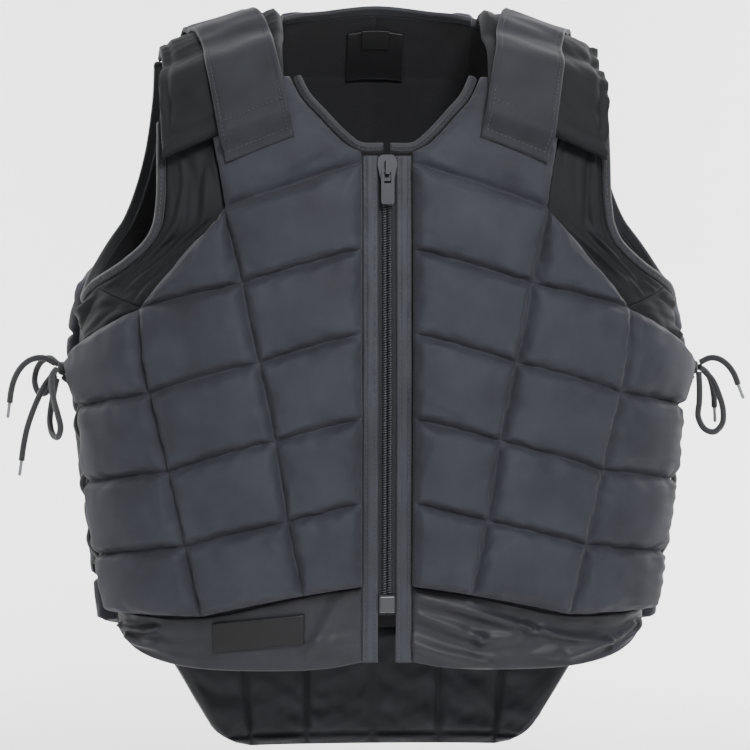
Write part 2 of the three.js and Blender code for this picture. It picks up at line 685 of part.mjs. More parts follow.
// The back's neckline, from the shoulder to the middle: distance from the centre plane as a share
// of NECK_HALF_WIDTH and turn up the arch in degrees
const NECK_BACK = [
  { x: 0.82, turn: 77 },
  { x: 0.5, turn: 72 },
];
const NECK_BACK_MIDDLE_TURN = 70;
const SHOULDER_SEAM_SHARE = 0.73;
const SIDE_NODE_DROP = 0.03;
const SIDE_CORNER_RISE = 0.035;
const BACK_SPLIT_RISE = 6;
const ARM_NODE_DROP = 0.01;
const backTop = (x) => placeOnArch(x, BACK_TOP_TURN, 'back');
const across = (p) => ({ phi: 2 * Math.PI - p.phi, h: p.h });
const acrossRail = (rail) => (t) => across(rail(t));
const neckBackSide = [
  backTop(NECK_HALF_WIDTH - bindingRoom),
  ...NECK_BACK.map((p) => placeOnArch(p.x * NECK_HALF_WIDTH, p.turn, 'back')),
];
const neckBack = smooth([
  ...neckBackSide,
  { phi: Math.PI, h: ARCH_BASE + ARCH * NECK_BACK_MIDDLE_TURN / 90 },
  ...neckBackSide.map(across).reverse(),
]);
const backSide = radians(BACK_SIDE_ANGLE);

function backPanel() {
  const wall = new Wall();
  const lastSeam = BACK_ROWS.length - 1;
  const rowH = (row) => -BACK_ROWS[row].drop * BODY_DROP;
  const edge = beside(armhole, -bindingRoom - CURVE_GAP);
  const at = (row, column) => {
    if (column === 0) {
      return { phi: Math.PI, h: place(0, rowH(row), 'back').h };
    }
    const seam = BACK_ROWS[row];
    return place([0, seam.first, seam.second, seam.third][column] * BACK_COLUMN, rowH(row), 'back');
  };
  const sideNode = (row) => ({
    phi: backSide, h: rowH(row) + (row < lastSeam ? -SIDE_NODE_DROP : SIDE_CORNER_RISE) * BODY_DROP });
  const armTurn = (row) => railAtHeight(armhole, at(row, 2).h - ARM_NODE_DROP * BODY_DROP, SIDE_END, 1);
  const splitTurn = railAtHeight(armhole, rowH(2) + BACK_SPLIT_RISE, SIDE_END, 1);
  const block = (railA, railB, pad = BACK_PAD, stops = BLOCK_STOPS, down = BLOCK_STOPS) => {
    wall.patch(railA, railB, stops, down, flat(0), pillow(pad));
    wall.patch(acrossRail(railA), acrossRail(railB), stops, down, flat(0), pillow(pad));
  };
  const armEdge = (from, to) => (t) => edge(lerp(from, to, t));
  const upright = (row, column) => line(at(row, column), at(row + 1, column));
  const neckSideRail = (t) => {
    const p = beside(neckBack, -bindingRoom - LAYER_GAP)(t / 2);
    return Math.abs(p.phi - Math.PI) < 0.01 ? { phi: Math.PI, h: p.h } : p;
  };
  // The block under the neck runs from the shoulder's corner to the middle, and the two beside it
  // run up to the shoulder
  const upperPad = SHOULDER_PAD + CROWN;
  const shoulderSeam = line(backTop(SHOULDER_SEAM_SHARE * SHOULDER_HALF_WIDTH), at(0, 2));
  block(neckSideRail, line(at(0, 1), at(0, 0)), upperPad, BLOCK_STOPS, MIDDLE_STOPS);
  block(line(neckSideRail(0), at(0, 1)), shoulderSeam, upperPad);
  block(shoulderSeam, armEdge(ARM_BINDING_END, armTurn(0)), upperPad);
  for (let row = 0; row < lastSeam; row += 1) {
    block(upright(row, 0), upright(row, 1), BACK_PAD, MIDDLE_STOPS);
    block(upright(row, 1), upright(row, 2));
  }
  block(upright(0, 2), armEdge(armTurn(0), armTurn(1)));
  block(upright(1, 2), armEdge(armTurn(1), splitTurn));
  block(upright(2, 2), line(edge(splitTurn), at(3, 3)));
  block(armEdge(splitTurn, SIDE_END + 0.008), line(at(3, 3), sideNode(3)),
    BACK_PAD, BLOCK_STOPS, MIDDLE_STOPS);
  for (let row = 3; row < lastSeam; row += 1) {
    block(upright(row, 2), upright(row, 3));
    block(upright(row, 3), line(sideNode(row), sideNode(row + 1)), BACK_PAD, MIDDLE_STOPS);
  }
  return wall;
}
add('back_panel', backPanel().geometry(), cloth(COLOURS.panel));

// Armhole binding, once round from the front of the shoulder to its back
addPair('armhole_binding', binding(armhole, 0.01, ARM_BINDING_END, 28), COLOURS.binding);
add('neck_binding_back', binding(neckBack, 0.01, 0.99, 18).geometry(), cloth(COLOURS.binding));

// Tail guard below the back panel, with upright seams a column apart and a slanting outer edge
const TAIL_SEAM_SHARE = 1.85;

const tailTop = -(BACK_ROWS[BACK_ROWS.length - 1].drop * BODY_DROP + GAP);

function tailGuard() {
  const wall = new Wall();
  const seam = (topX, bottomX) => line(
    place(topX, tailTop, 'back'), place(bottomX, -TAIL_BOTTOM_DROP, 'back'));
  const seams = [
    line({ phi: Math.PI, h: tailTop }, { phi: Math.PI, h: -TAIL_BOTTOM_DROP }),
    seam(BACK_COLUMN, BACK_COLUMN),
    seam(2 * BACK_COLUMN, TAIL_SEAM_SHARE * BACK_COLUMN),
    seam(TAIL_TOP_HALF_WIDTH, TAIL_BOTTOM_HALF_WIDTH),
  ];
  for (let i = 0; i + 1 < seams.length; i += 1) {
    for (const turned of [(rail) => rail, acrossRail]) {
      wall.patch(turned(seams[i]), turned(seams[i + 1]), BLOCK_STOPS, BLOCK_STOPS,
        flat(0), pillow(TAIL_PAD));
    }
  }
  return wall;
}
add('tail_guard', tailGuard().geometry(), cloth(COLOURS.dark));

// Shoulder flaps: a padded tongue from the back panel, folded forward over the front panel's top.
// It lies on the shoulder at the ridge and climbs onto the front panel's block
const FLAP = {
  backInner: 0.985, backOuter: 1.0, innerX: 0.95, innerTurn: 30, outerX: 0.945, outerTurn: 19.6, ramp: 17 };
const FLAP_END = 0.05;
const FLAP_STOPS = [0, 0.04, 0.2, 0.36, 0.48, 0.54, 0.59, 0.64, 0.69, 0.74, 0.79, 0.84, 0.9, 0.95, 1];
const flapBackTurn = 180 - BACK_TOP_TURN - LAYER_GAP;
const onPanel = SHOULDER_PAD + CROWN + LAYER_GAP;
const archTurn = (h) => (h - ARCH_BASE) / ARCH * 90;
const flapInner = (h) => lerp(
  onPanel, LAYER_GAP, ease(archTurn(h), PANEL_TOP_TURN + 1, PANEL_TOP_TURN + 1 + FLAP.ramp));
const flapInnerRail = line(placeOnArch(FLAP.backInner * NECK_HALF_WIDTH, flapBackTurn),
  placeOnArch(FLAP.innerX * NECK_HALF_WIDTH, FLAP.innerTurn));
const flapOuterRail = line(placeOnArch(FLAP.backOuter * SHOULDER_HALF_WIDTH, flapBackTurn),
  placeOnArch(FLAP.outerX * SHOULDER_HALF_WIDTH, FLAP.outerTurn));
const heightBetween = (railA, railB) => (u, v) => lerp(railA(v).h, railB(v).h, u);

function shoulderFlap() {
  const height = heightBetween(flapInnerRail, flapOuterRail);
  const inner = (u, v) => flapInner(height(u, v));
  const outer = (u, v) => (
    inner(u, v) + SEAM + (FLAP_PAD - SEAM) * shoulder(u, PILLOW_EDGE) * shoulder(v, FLAP_END));
  return new Wall().patch(flapInnerRail, flapOuterRail, WIDE_STOPS, FLAP_STOPS, inner, outer);
}
addPair('shoulder_flap', shoulderFlap(), COLOURS.panel);

// Shoulder straps: sewn to the back panel, over the flap and down onto the front panel
const STRAP = {
  backInner: 1.33, backOuter: 1.94, backTurn: 118, frontInner: 0.87, frontOuter: 1.5, innerTurn: 21.7,
  outerTurn: 16.4, stepDown: 5 };
// Turns between which the strap climbs from the flap onto the back panel's pads
const STRAP_CLIMB = { from: 94, to: 102 };
// Where the strap's two edges lie across the flap
const STRAP_ON_FLAP = { inner: 0.08, outer: 0.53 };
const STRAP_STOPS = [
  0, 0.08, 0.16, 0.2, 0.24, 0.32, 0.42, 0.52, 0.58, 0.64, 0.7, 0.76, 0.84, 0.9, 0.93, 0.96, 1];
const strapInnerRail = line(placeOnArch(STRAP.backInner * NECK_HALF_WIDTH, STRAP.backTurn),
  placeOnArch(STRAP.frontInner * NECK_HALF_WIDTH, STRAP.innerTurn));
const strapOuterRail = line(placeOnArch(STRAP.backOuter * NECK_HALF_WIDTH, STRAP.backTurn),
  placeOnArch(STRAP.frontOuter * NECK_HALF_WIDTH, STRAP.outerTurn));

function shoulderStrap() {
  const height = heightBetween(strapInnerRail, strapOuterRail);
  const inner = (u, v) => {
    const h = height(u, v);
    const share = lerp(STRAP_ON_FLAP.inner, STRAP_ON_FLAP.outer, u);
    const tip = lerp(FLAP.innerTurn, FLAP.outerTurn, share) - LAYER_GAP;
    const overFlap = flapInner(h) + FLAP_PAD + CURVE_GAP + GAP;
    const front = lerp(onPanel, overFlap, ease(archTurn(h), tip - STRAP.stepDown, tip));
    const onBack = BACK_PAD + CROWN + LAYER_GAP;
    return lerp(front, onBack, ease(archTurn(h), STRAP_CLIMB.from, STRAP_CLIMB.to));
  };
  const outer = (u, v) => inner(u, v) + STRAP_THICKNESS;
  return new Wall().patch(strapInnerRail, strapOuterRail, HALF_STOPS, STRAP_STOPS, inner, outer);
}
addPair('shoulder_strap', shoulderStrap(), COLOURS.strap);

// Side panels: cloth across the gap between the front and the back, under the lacing
const sideClothTop = GAP + SIDE_CLOTH;
const frontSideNodes = [
  inArmhole(SIDE_START), sideTop, ...[2, 3, 4, 5].map((row) => seamNode(row, 'side'))];

function turnAtHeight(nodes, height) {
  const i = Math.max(1, nodes.findIndex((p) => p.h <= height));
  const end = i < 1 ? nodes.length - 1 : i;
  const [a, b] = [nodes[end - 1], nodes[end]];
  return lerp(a.phi, b.phi, (height - a.h) / (b.h - a.h));
}
const sideMiddle = -(ARMHOLE_DROP + BODY_DROP / 4);
const sideSpeed = lining(backSide, sideMiddle).distanceTo(lining(radians(FRONT_SIDE_ANGLE), sideMiddle))
  / (backSide - radians(FRONT_SIDE_ANGLE));
const sideWide = (distance) => distance / sideSpeed;
const frontSideRail = (top, bottom, distance) => (t) => {
  const h = -lerp(top, bottom, t);
  return { phi: turnAtHeight(frontSideNodes, h) + sideWide(distance), h };
};
const backSideRail = (top, bottom, distance) => (t) => (
  { phi: backSide - sideWide(distance), h: -lerp(top, bottom, t) });
const sideTopDrop = ARMHOLE_DROP + bindingRoom + CURVE_GAP;
const sideBottomDrop = ARMHOLE_DROP + BODY_DROP / 2;
addPair('side_panel', new Wall().patch(
  frontSideRail(sideTopDrop, sideBottomDrop, 2 * CURVE_GAP),
  backSideRail(sideTopDrop, sideBottomDrop, 2 * LAYER_GAP),
  HALF_STOPS, steps(8), flat(GAP), flat(sideClothTop)), COLOURS.dark);

// Lacing strips along both edges of each side, with a row of loops that the lace runs through
const stripInner = sideClothTop + GAP;
const stripOuter = stripInner + LACE_STRIP_THICKNESS;
const laceLevel = stripOuter + LACE_DIAMETER / 2 + LAYER_GAP;
const laceHeights = Array.from({ length: LACE_ROWS }, (_, i) => -(LACE_TOP_DROP + i * LACE_PITCH));
const stripTop = LACE_TOP_DROP - LACE_STRIP_END;
const stripBottom = LACE_TOP_DROP + (LACE_ROWS - 1) * LACE_PITCH + LACE_STRIP_END;
const stripEdge = 2 * CURVE_GAP;
const sideRail = { front: frontSideRail, back: backSideRail };
const loopTurn = (side, h) => sideRail[side](-h, -h, stripEdge + LACE_STRIP_WIDTH / 2)(0).phi;

function frameOnSide(phi, h, out) {
  const outwards = outward(phi, h);
  const across = lining(phi + 0.01, h).sub(lining(phi - 0.01, h)).normalize();
  const up = new THREE.Vector3().crossVectors(across, outwards).normalize();
  return new THREE.Matrix4().makeBasis(across, outwards, up).setPosition(skin(phi, h, out));
}

function laceLoop() {
  const half = LACE_DIAMETER / 2 + LAYER_GAP + GAP;
  const tall = LACE_DIAMETER + 3 * LAYER_GAP;
  const wide = half + LACE_LOOP_WALL;
  const high = tall + LACE_LOOP_WALL;
  const sunk = -LACE_STRIP_THICKNESS / 2;
  const shape = new THREE.Shape();
  shape.moveTo(-wide, sunk);
  shape.lineTo(-wide * 0.85, high);
  shape.lineTo(wide * 0.85, high);
  shape.lineTo(wide, sunk);
  shape.lineTo(half, sunk);
  shape.lineTo(half, tall);
  shape.lineTo(-half, tall);
  shape.lineTo(-half, sunk);
  return new THREE.ExtrudeGeometry(shape, { depth: LACE_LOOP_DEPTH, bevelEnabled: false })
    .translate(0, 0, -LACE_LOOP_DEPTH / 2);
}

function laceStrip(side) {
  const rail = sideRail[side];
  const near = rail(stripTop, stripBottom, stripEdge);
  const far = rail(stripTop, stripBottom, stripEdge + LACE_STRIP_WIDTH);
  let strip = solid(new Wall().patch(
    near, far, [0, 1], steps(8), flat(stripInner), flat(stripOuter)).geometry());
  for (const h of laceHeights) {
    strip = strip.add(solid(laceLoop().applyMatrix4(frameOnSide(loopTurn(side, h), h, stripOuter))));
  }
  return toGeometry(strip);
}

function mirrorGeometry(geometry) {
  const copy = geometry.clone().scale(-1, 1, 1);
  const index = Array.from(copy.index.array);
  for (let i = 0; i < index.length; i += 3) {
    [index[i + 1], index[i + 2]] = [index[i + 2], index[i + 1]];
  }
  copy.setIndex(index);
  return copy;
}
for (const side of ['front', 'back']) {
  const strip = laceStrip(side);
  add(`lace_strip_${side}_left`, strip, cloth(COLOURS.dark));
  add(`lace_strip_${side}_right`, mirrorGeometry(strip), cloth(COLOURS.dark));
}

// A tube with closed ends along a curve
function tube(points, diameter, sides, count) {
  const shape = new THREE.Shape(steps(sides).slice(0, sides).map((t) => (
    new THREE.Vector2(Math.cos(2 * Math.PI * t), Math.sin(2 * Math.PI * t)).multiplyScalar(diameter / 2))));
  const path = new THREE.CatmullRomCurve3(points, false, 'centripetal');
  const extruded = new THREE.ExtrudeGeometry(shape, { steps: count, bevelEnabled: false, extrudePath: path });
  return toGeometry(solid(extruded));
}

// The lace runs down one way through the loops, crosses at the bottom and comes back up over itself
const KNOT = { turn: 87, rise: 23, out: 17, x: 5.5, y: 6, z: 5.5 };
const knotCentre = skin(radians(KNOT.turn), KNOT.rise - LACE_TOP_DROP, KNOT.out);

function laceRoute() {
  const reach = LACE_LOOP_DEPTH / 2 + LACE_STRAIGHT;
  const through = (side, row, down) => {
    const h = laceHeights[row];
    const phi = loopTurn(side, h);
    return [reach, 0, -reach].map((dh) => skin(phi, h + (down ? dh : -dh), laceLevel));
  };
  const middle = (row, lift) => {
    const h = (laceHeights[row] + laceHeights[row + 1]) / 2;
    return skin((loopTurn('front', h) + loopTurn('back', h)) / 2, h, laceLevel + lift);
  };
  const start = (dy) => knotCentre.clone().add(new THREE.Vector3(-1, dy, -KNOT.z - CURVE_GAP));
  const apart = LACE_DIAMETER / 2 + GAP;
  const down = [start(-apart)];
  const up = [start(apart)];
  for (let row = 0; row < LACE_ROWS; row += 1) {
    const sides = row % 2 ? ['back', 'front'] : ['front', 'back'];
    down.push(...through(sides[0], row, true));
    up.push(...through(sides[1], row, true));
    if (row + 1 < LACE_ROWS) {
      down.push(middle(row, 0));
      up.push(middle(row, LACE_DIAMETER + LAYER_GAP));
    }
  }
  const lowest = laceHeights[LACE_ROWS - 1] - reach - 5;
  const bottom = skin((loopTurn('front', lowest) + loopTurn('back', lowest)) / 2, lowest, laceLevel);
  return [...down, bottom, ...up.reverse()];
}
const LACE_SIDES = 5;
const LACE_STEPS = 48;
const lacing = tube(laceRoute(), LACE_DIAMETER, LACE_SIDES, LACE_STEPS);
add('side_lacing_left', lacing, cloth(COLOURS.lace));
add('side_lacing_right', mirrorGeometry(lacing), cloth(COLOURS.lace));

const knot = toGeometry(solid(new THREE.SphereGeometry(1, 8, 6).scale(KNOT.x, KNOT.y, KNOT.z)
  .translate(knotCentre.x, knotCentre.y, knotCentre.z)));
add('lace_knot_left', knot, cloth(COLOURS.lace));
add('lace_knot_right', mirrorGeometry(knot), cloth(COLOURS.lace));

// Bare label patches: one on the right hem, one inside the neck with a size tag over it
const PATCH_PLACE = { innerX: 60, outerX: 126, innerDrop: 411, outerDrop: 418 };
const patchInner = CLOTH + FACING_FOLD + 2 * LAYER_GAP;
const patchRail = (x, drop) => line(place(x, -drop), place(x, -(drop + PATCH_HEIGHT)));
add('hem_patch', new Wall().patch(patchRail(PATCH_PLACE.innerX, PATCH_PLACE.innerDrop),
  patchRail(PATCH_PLACE.outerX, PATCH_PLACE.outerDrop), steps(4), [0, 1],
  flat(patchInner), flat(patchInner + PATCH_THICKNESS)).geometry(true), cloth(COLOURS.label));

const LABEL_TURN = 60;
const LABEL_THICKNESS = 1;
// Degrees of turn per millimetre of label on the arch inside the neck
const LABEL_TURN_RATE = 0.5;

function insideNeck(width, topTurn, height, layer) {
  const rail = (t) => placeOnArch(width / 2, topTurn - t * height * LABEL_TURN_RATE, 'back');
  const from = CURVE_GAP + LAYER_GAP + layer * (LABEL_THICKNESS + GAP);
  return new Wall().patch(rail, acrossRail(rail), steps(4), steps(3),
    flat(-from - LABEL_THICKNESS), flat(-from)).geometry();
}
add('neck_label', insideNeck(NECK_LABEL_WIDTH, LABEL_TURN, NECK_LABEL_HEIGHT, 0), cloth(COLOURS.label));
add('size_tag', insideNeck(SIZE_TAG_WIDTH, LABEL_TURN + 1, SIZE_TAG_HEIGHT, 1), cloth(COLOURS.label));

// Free lace ends and bow loops: hand-chosen routes from the knots, each with its plain tube
const LACE_ROUTES = {
  lace_end_upper_right: [
    [-239.1, -9.9, -233.8], [-246, -12, -230], [-252, -14.5, -229.5], [-259, -17, -232], [-265, -19, -238],
    [-269, -20.5, -246], [-271, -21.5, -254], [-272, -22, -262]],
  lace_end_lower_right: [
    [-239.3, -9.2, -239.9], [-247, -9.5, -250], [-252, -10, -260], [-256.5, -10.5, -271], [-260, -11, -282],
    [-262.5, -11.5, -294], [-264, -12, -305]],
  lace_loop_front_right: [
    [-238.5, -14.5, -238], [-241, -22, -242], [-241, -31, -250], [-239, -40, -260], [-236, -46.5, -270],
    [-234, -48, -279], [-236, -43, -286], [-240, -35, -285], [-242.5, -27, -277], [-242, -20, -266],
    [-240, -15.5, -255], [-238, -12.5, -245]],
  lace_loop_back_right: [
    [-237.6, -5.3, -234.1], [-244, 2, -230], [-250, 6, -233], [-254, 9, -240], [-255, 10, -249],
    [-252, 9, -256], [-247, 6, -256], [-243, 2, -250], [-240, -2.5, -243]],
  lace_end_left: [
    [239.1, -9.9, -233.8], [246, -12, -230.5], [252, -14.5, -231], [258, -17, -235], [263, -19, -242],
    [266, -20, -250]],
  lace_loop_left: [
    [237.7, -12.9, -241.4], [237.5, -17.5, -252], [237, -20, -263], [236, -21.5, -274], [241, -22, -283],
    [248, -22, -285], [254, -21, -279], [255, -19, -269], [252.5, -16, -258], [248, -13, -247],
    [242, -10.5, -240]],
  lace_end_short_left: [
    [238.8, -5.5, -237], [246, 0, -242], [250, 3, -250], [252, 4.5, -260], [252.5, 5, -268]],
};
const LACE_STEP = 2.4 * LACE_DIAMETER;
for (const [name, route] of Object.entries(LACE_ROUTES)) {
  const points = route.map(([x, y, z]) => new THREE.Vector3(x, y, z));
  const length = new THREE.CatmullRomCurve3(points, false, 'centripetal').getLength();
  add(name, tube(points, LACE_DIAMETER, 8, Math.round(length / LACE_STEP)), cloth(COLOURS.lace));
  if (name.includes('end')) {
    const tip = points[points.length - 1];
    const way = tip.clone().sub(points[points.length - 2]).normalize();
    const along = [GAP, GAP + AGLET_LENGTH / 2, GAP + AGLET_LENGTH].map(
      (distance) => tip.clone().addScaledVector(way, distance));
    add(name.replace('lace_end', 'aglet'), tube(along, AGLET_DIAMETER, 6, 1), plastic(COLOURS.aglet));
  }
}

export default vest;
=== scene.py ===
"""The looks of a riding body protector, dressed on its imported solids. Metres, +Z up, -Y front."""
import math

import bpy
import numpy as np
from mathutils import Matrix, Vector


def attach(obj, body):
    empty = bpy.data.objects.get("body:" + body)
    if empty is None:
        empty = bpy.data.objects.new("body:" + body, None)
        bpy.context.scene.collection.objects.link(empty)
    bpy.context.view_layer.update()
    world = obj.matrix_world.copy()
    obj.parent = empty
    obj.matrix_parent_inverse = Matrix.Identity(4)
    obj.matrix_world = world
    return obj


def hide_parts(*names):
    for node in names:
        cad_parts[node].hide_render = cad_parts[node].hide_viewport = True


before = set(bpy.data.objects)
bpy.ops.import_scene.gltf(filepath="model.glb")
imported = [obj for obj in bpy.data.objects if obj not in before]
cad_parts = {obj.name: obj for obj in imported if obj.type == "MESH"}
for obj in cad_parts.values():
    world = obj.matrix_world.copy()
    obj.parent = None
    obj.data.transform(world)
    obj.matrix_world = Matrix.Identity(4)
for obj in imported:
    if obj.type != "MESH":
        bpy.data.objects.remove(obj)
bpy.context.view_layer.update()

VEST = "vest"
MM = 0.001


# Studio: a pale floor that sweeps up into the backdrop, a large soft key from the front and above,
# weaker lights from the left, the top and the back, and two on the backdrop. The camera stands where
# the photographer's did
def to_linear(hex_colour):
    channels = [int(hex_colour[i:i + 2], 16) / 255 for i in (1, 3, 5)]
    return [c / 12.92 if c <= 0.04045 else ((c + 0.055) / 1.055) ** 2.4 for c in channels] + [1.0]


def add_node(tree, kind, settings=None, **links):
    """A node with its settings and its inputs: values are set and sockets are linked."""
    made = tree.nodes.new(kind)
    for key, value in (settings or {}).items():
        setattr(made, key, value)
    for key, value in links.items():
        socket = made.inputs[int(key[1:])] if key[0] == "i" and key[1:].isdigit() else made.inputs[
            key.replace("_", " ")]
        if isinstance(value, bpy.types.NodeSocket):
            tree.links.new(value, socket)
        else:
            socket.default_value = value
    return made


def new_material(name):
    material = bpy.data.materials.new(name)
    material.use_nodes = True
    tree = material.node_tree
    return material, tree, tree.nodes["Principled BSDF"]


def mesh_object(name, points, faces, materials=(), smooth=True):
    mesh = bpy.data.meshes.new(name)
    mesh.from_pydata([list(p) for p in points], [], [list(f) for f in faces])
    for material in materials:
        mesh.materials.append(material)
    mesh.polygons.foreach_set("use_smooth", [smooth] * len(mesh.polygons))
    made = bpy.data.objects.new(name, mesh)
    bpy.context.scene.collection.objects.link(made)
    return made


FLOOR_Z = -0.62
SWEEP_START = 1.2
SWEEP_RADIUS = 1.6
SWEEP_HEIGHT = 6.0
SWEEP_HALF_WIDTH = 9.0
profile = [(-7.0, FLOOR_Z), (SWEEP_START, FLOOR_Z)]
profile += [(SWEEP_START + SWEEP_RADIUS * math.sin(a), FLOOR_Z + SWEEP_RADIUS * (1 - math.cos(a)))
            for a in np.linspace(0.1, math.pi / 2, 14)]
profile += [(SWEEP_START + SWEEP_RADIUS, SWEEP_HEIGHT)]
sweep_points = [(x, y, z) for y, z in profile for x in (-SWEEP_HALF_WIDTH, SWEEP_HALF_WIDTH)]
sweep_faces = [(2 * i, 2 * i + 1, 2 * i + 3, 2 * i + 2) for i in range(len(profile) - 1)]
paper, paper_tree, paper_shader = new_material("white background paper")
paper_shader.inputs["Base Color"].default_value = to_linear("#F7F7F7")
paper_shader.inputs["Roughness"].default_value = 0.9
# Seen from behind, the paper is clear, so that a camera there sees the vest and not the paper
paper_side = add_node(paper_tree, "ShaderNodeNewGeometry")
paper_clear = add_node(paper_tree, "ShaderNodeBsdfTransparent")
paper_mix = add_node(paper_tree, "ShaderNodeMixShader", i0=paper_side.outputs["Backfacing"],
                     i1=paper_shader.outputs[0], i2=paper_clear.outputs[0])
paper_tree.links.new(paper_mix.outputs[0], paper_tree.nodes["Material Output"].inputs["Surface"])
backdrop = mesh_object("studio_backdrop", sweep_points, sweep_faces, [paper])

world = bpy.data.worlds.new("studio")
bpy.context.scene.world = world
world.use_nodes = True
world.node_tree.nodes["Background"].inputs["Color"].default_value = to_linear("#FFFFFF")
world.node_tree.nodes["Background"].inputs["Strength"].default_value = 0.5


def add_light(name, place, aim, size, power):
    data = bpy.data.lights.new(name, "AREA")
    data.shape = "DISK"
    data.size = size
    data.energy = power
    light = bpy.data.objects.new(name, data)
    light.location = place
    light.rotation_euler = (Vector(aim) - Vector(place)).to_track_quat("-Z", "Y").to_euler()
    bpy.context.scene.collection.objects.link(light)


CHEST = (0.0, 0.0, -0.25)
SOFTBOXES = [
    # name, place, size in metres, power in watts
    ("key_softbox", (0.38, -2.1, 1.1), 0.7, 84),
    ("fill_softbox", (-1.9, -1.4, 0.2), 1.2, 2),
    ("top_softbox", (0.1, 0.2, 1.7), 1.0, 9),
    ("back_softbox", (0.9, 1.7, 0.7), 1.2, 14),
]
for name, stand, size, power in SOFTBOXES:
    add_light(name, stand, CHEST, size, power)
BACKDROP_MIDDLE = (0.0, 2.8, 0.1)
for x in (-1.7, 1.7):
    add_light(f"backdrop_light_{'left' if x > 0 else 'right'}", (x, 0.9, 0.6), BACKDROP_MIDDLE, 1.2, 95)

CAMERA_DISTANCE = 2.325
CAMERA_TURN = math.radians(-3.5)
CAMERA_RISE = math.radians(2.0)
CAMERA_TARGET = Vector((-0.0065, -0.06, -0.241))
camera_data = bpy.data.cameras.new("camera")
camera_data.sensor_width = 36
camera_data.lens = 154
camera = bpy.data.objects.new("camera", camera_data)
away = Vector((math.sin(CAMERA_TURN) * math.cos(CAMERA_RISE),
               -math.cos(CAMERA_TURN) * math.cos(CAMERA_RISE), math.sin(CAMERA_RISE)))
camera.location = CAMERA_TARGET + away * CAMERA_DISTANCE
camera.rotation_euler = (-away).to_track_quat("-Z", "Y").to_euler()
bpy.context.scene.collection.objects.link(camera)
bpy.context.scene.camera = camera


# Free lace ends and bow loops: a round polyester cord braided from black yarns, about 4.6 mm
# across. Each hangs from its side's knot and is as long as the photograph shows it.
LACE_DIAMETER = 4.6
LACE_ROUTES = {
    "lace_end_upper_right": [
        (-239.1, -9.9, -233.8), (-246, -12, -230), (-252, -14.5, -229.5), (-259, -17, -232),
        (-265, -19, -238), (-269, -20.5, -246), (-271, -21.5, -254), (-272, -22, -262)],
    "lace_end_lower_right": [
        (-239.3, -9.2, -239.9), (-247, -9.5, -250), (-252, -10, -260), (-256.5, -10.5, -271),
        (-260, -11, -282), (-262.5, -11.5, -294), (-264, -12, -305)],
    "lace_loop_front_right": [
        (-238.5, -14.5, -238), (-241, -22, -242), (-241, -31, -250), (-239, -40, -260),
        (-236, -46.5, -270), (-234, -48, -279), (-236, -43, -286), (-240, -35, -285),
        (-242.5, -27, -277), (-242, -20, -266), (-240, -15.5, -255), (-238, -12.5, -245)],
    "lace_loop_back_right": [
        (-237.6, -5.3, -234.1), (-244, 2, -230), (-250, 6, -233), (-254, 9, -240), (-255, 10, -249),
        (-252, 9, -256), (-247, 6, -256), (-243, 2, -250), (-240, -2.5, -243)],
    "lace_end_left": [
        (239.1, -9.9, -233.8), (246, -12, -230.5), (252, -14.5, -231), (258, -17, -235),
        (263, -19, -242), (266, -20, -250)],
    "lace_loop_left": [
        (237.7, -12.9, -241.4), (237.5, -17.5, -252), (237, -20, -263), (236, -21.5, -274),
        (241, -22, -283), (248, -22, -285), (254, -21, -279), (255, -19, -269), (252.5, -16, -258),
        (248, -13, -247), (242, -10.5, -240)],
    "lace_end_short_left": [
        (238.8, -5.5, -237), (246, 0, -242), (250, 3, -250), (252, 4.5, -260), (252.5, 5, -268)],
}


def through(points, per_span=24):
    """A smooth line through the points, with the spacing of a hanging cord."""
    points = np.array(points, float)
    first = 2 * points[0] - points[1]
    last = 2 * points[-1] - points[-2]
    knots = np.vstack([first, points, last])
    line = []
    for i in range(1, len(knots) - 2):
        p0, p1, p2, p3 = knots[i - 1:i + 3]
        d0, d1, d2 = [max(np.linalg.norm(b - a) ** 0.5, 1e-4) for a, b in ((p0, p1), (p1, p2), (p2, p3))]
        m1 = d1 * ((p1 - p0) / d0 - (p2 - p0) / (d0 + d1) + (p2 - p1) / d1)
        m2 = d1 * ((p2 - p1) / d1 - (p3 - p1) / (d1 + d2) + (p3 - p2) / d2)
        t = np.linspace(0, 1, per_span, endpoint=False)[:, None]
        line.append((2 * t ** 3 - 3 * t ** 2 + 1) * p1 + (t ** 3 - 2 * t ** 2 + t) * m1
                    + (3 * t ** 2 - 2 * t ** 3) * p2 + (t ** 3 - t ** 2) * m2)
    return np.vstack(line + [points[-1:]])


def evenly(line, step):
    """The same line with its points a step apart."""
    reach = np.concatenate([[0], np.cumsum(np.linalg.norm(np.diff(line, axis=0), axis=1))])
    count = max(2, int(round(reach[-1] / step)) + 1)
    at = np.linspace(0, reach[-1], count)
    return np.stack([np.interp(at, reach, line[:, k]) for k in range(3)], 1), reach[-1]


def carried_frames(line):
    """Unit vectors along and across the line, carried along it without a twist."""
    ways = np.gradient(line, axis=0)
    ways /= np.linalg.norm(ways, axis=1)[:, None]
    side = np.cross(ways[0], (0.3, 0.2, 0.9))
    sides = []
    for way in ways:
        side = side - way * (side @ way)
        side /= np.linalg.norm(side)
        sides.append(side)
    sides = np.array(sides)
    return ways, sides, np.cross(ways, sides)


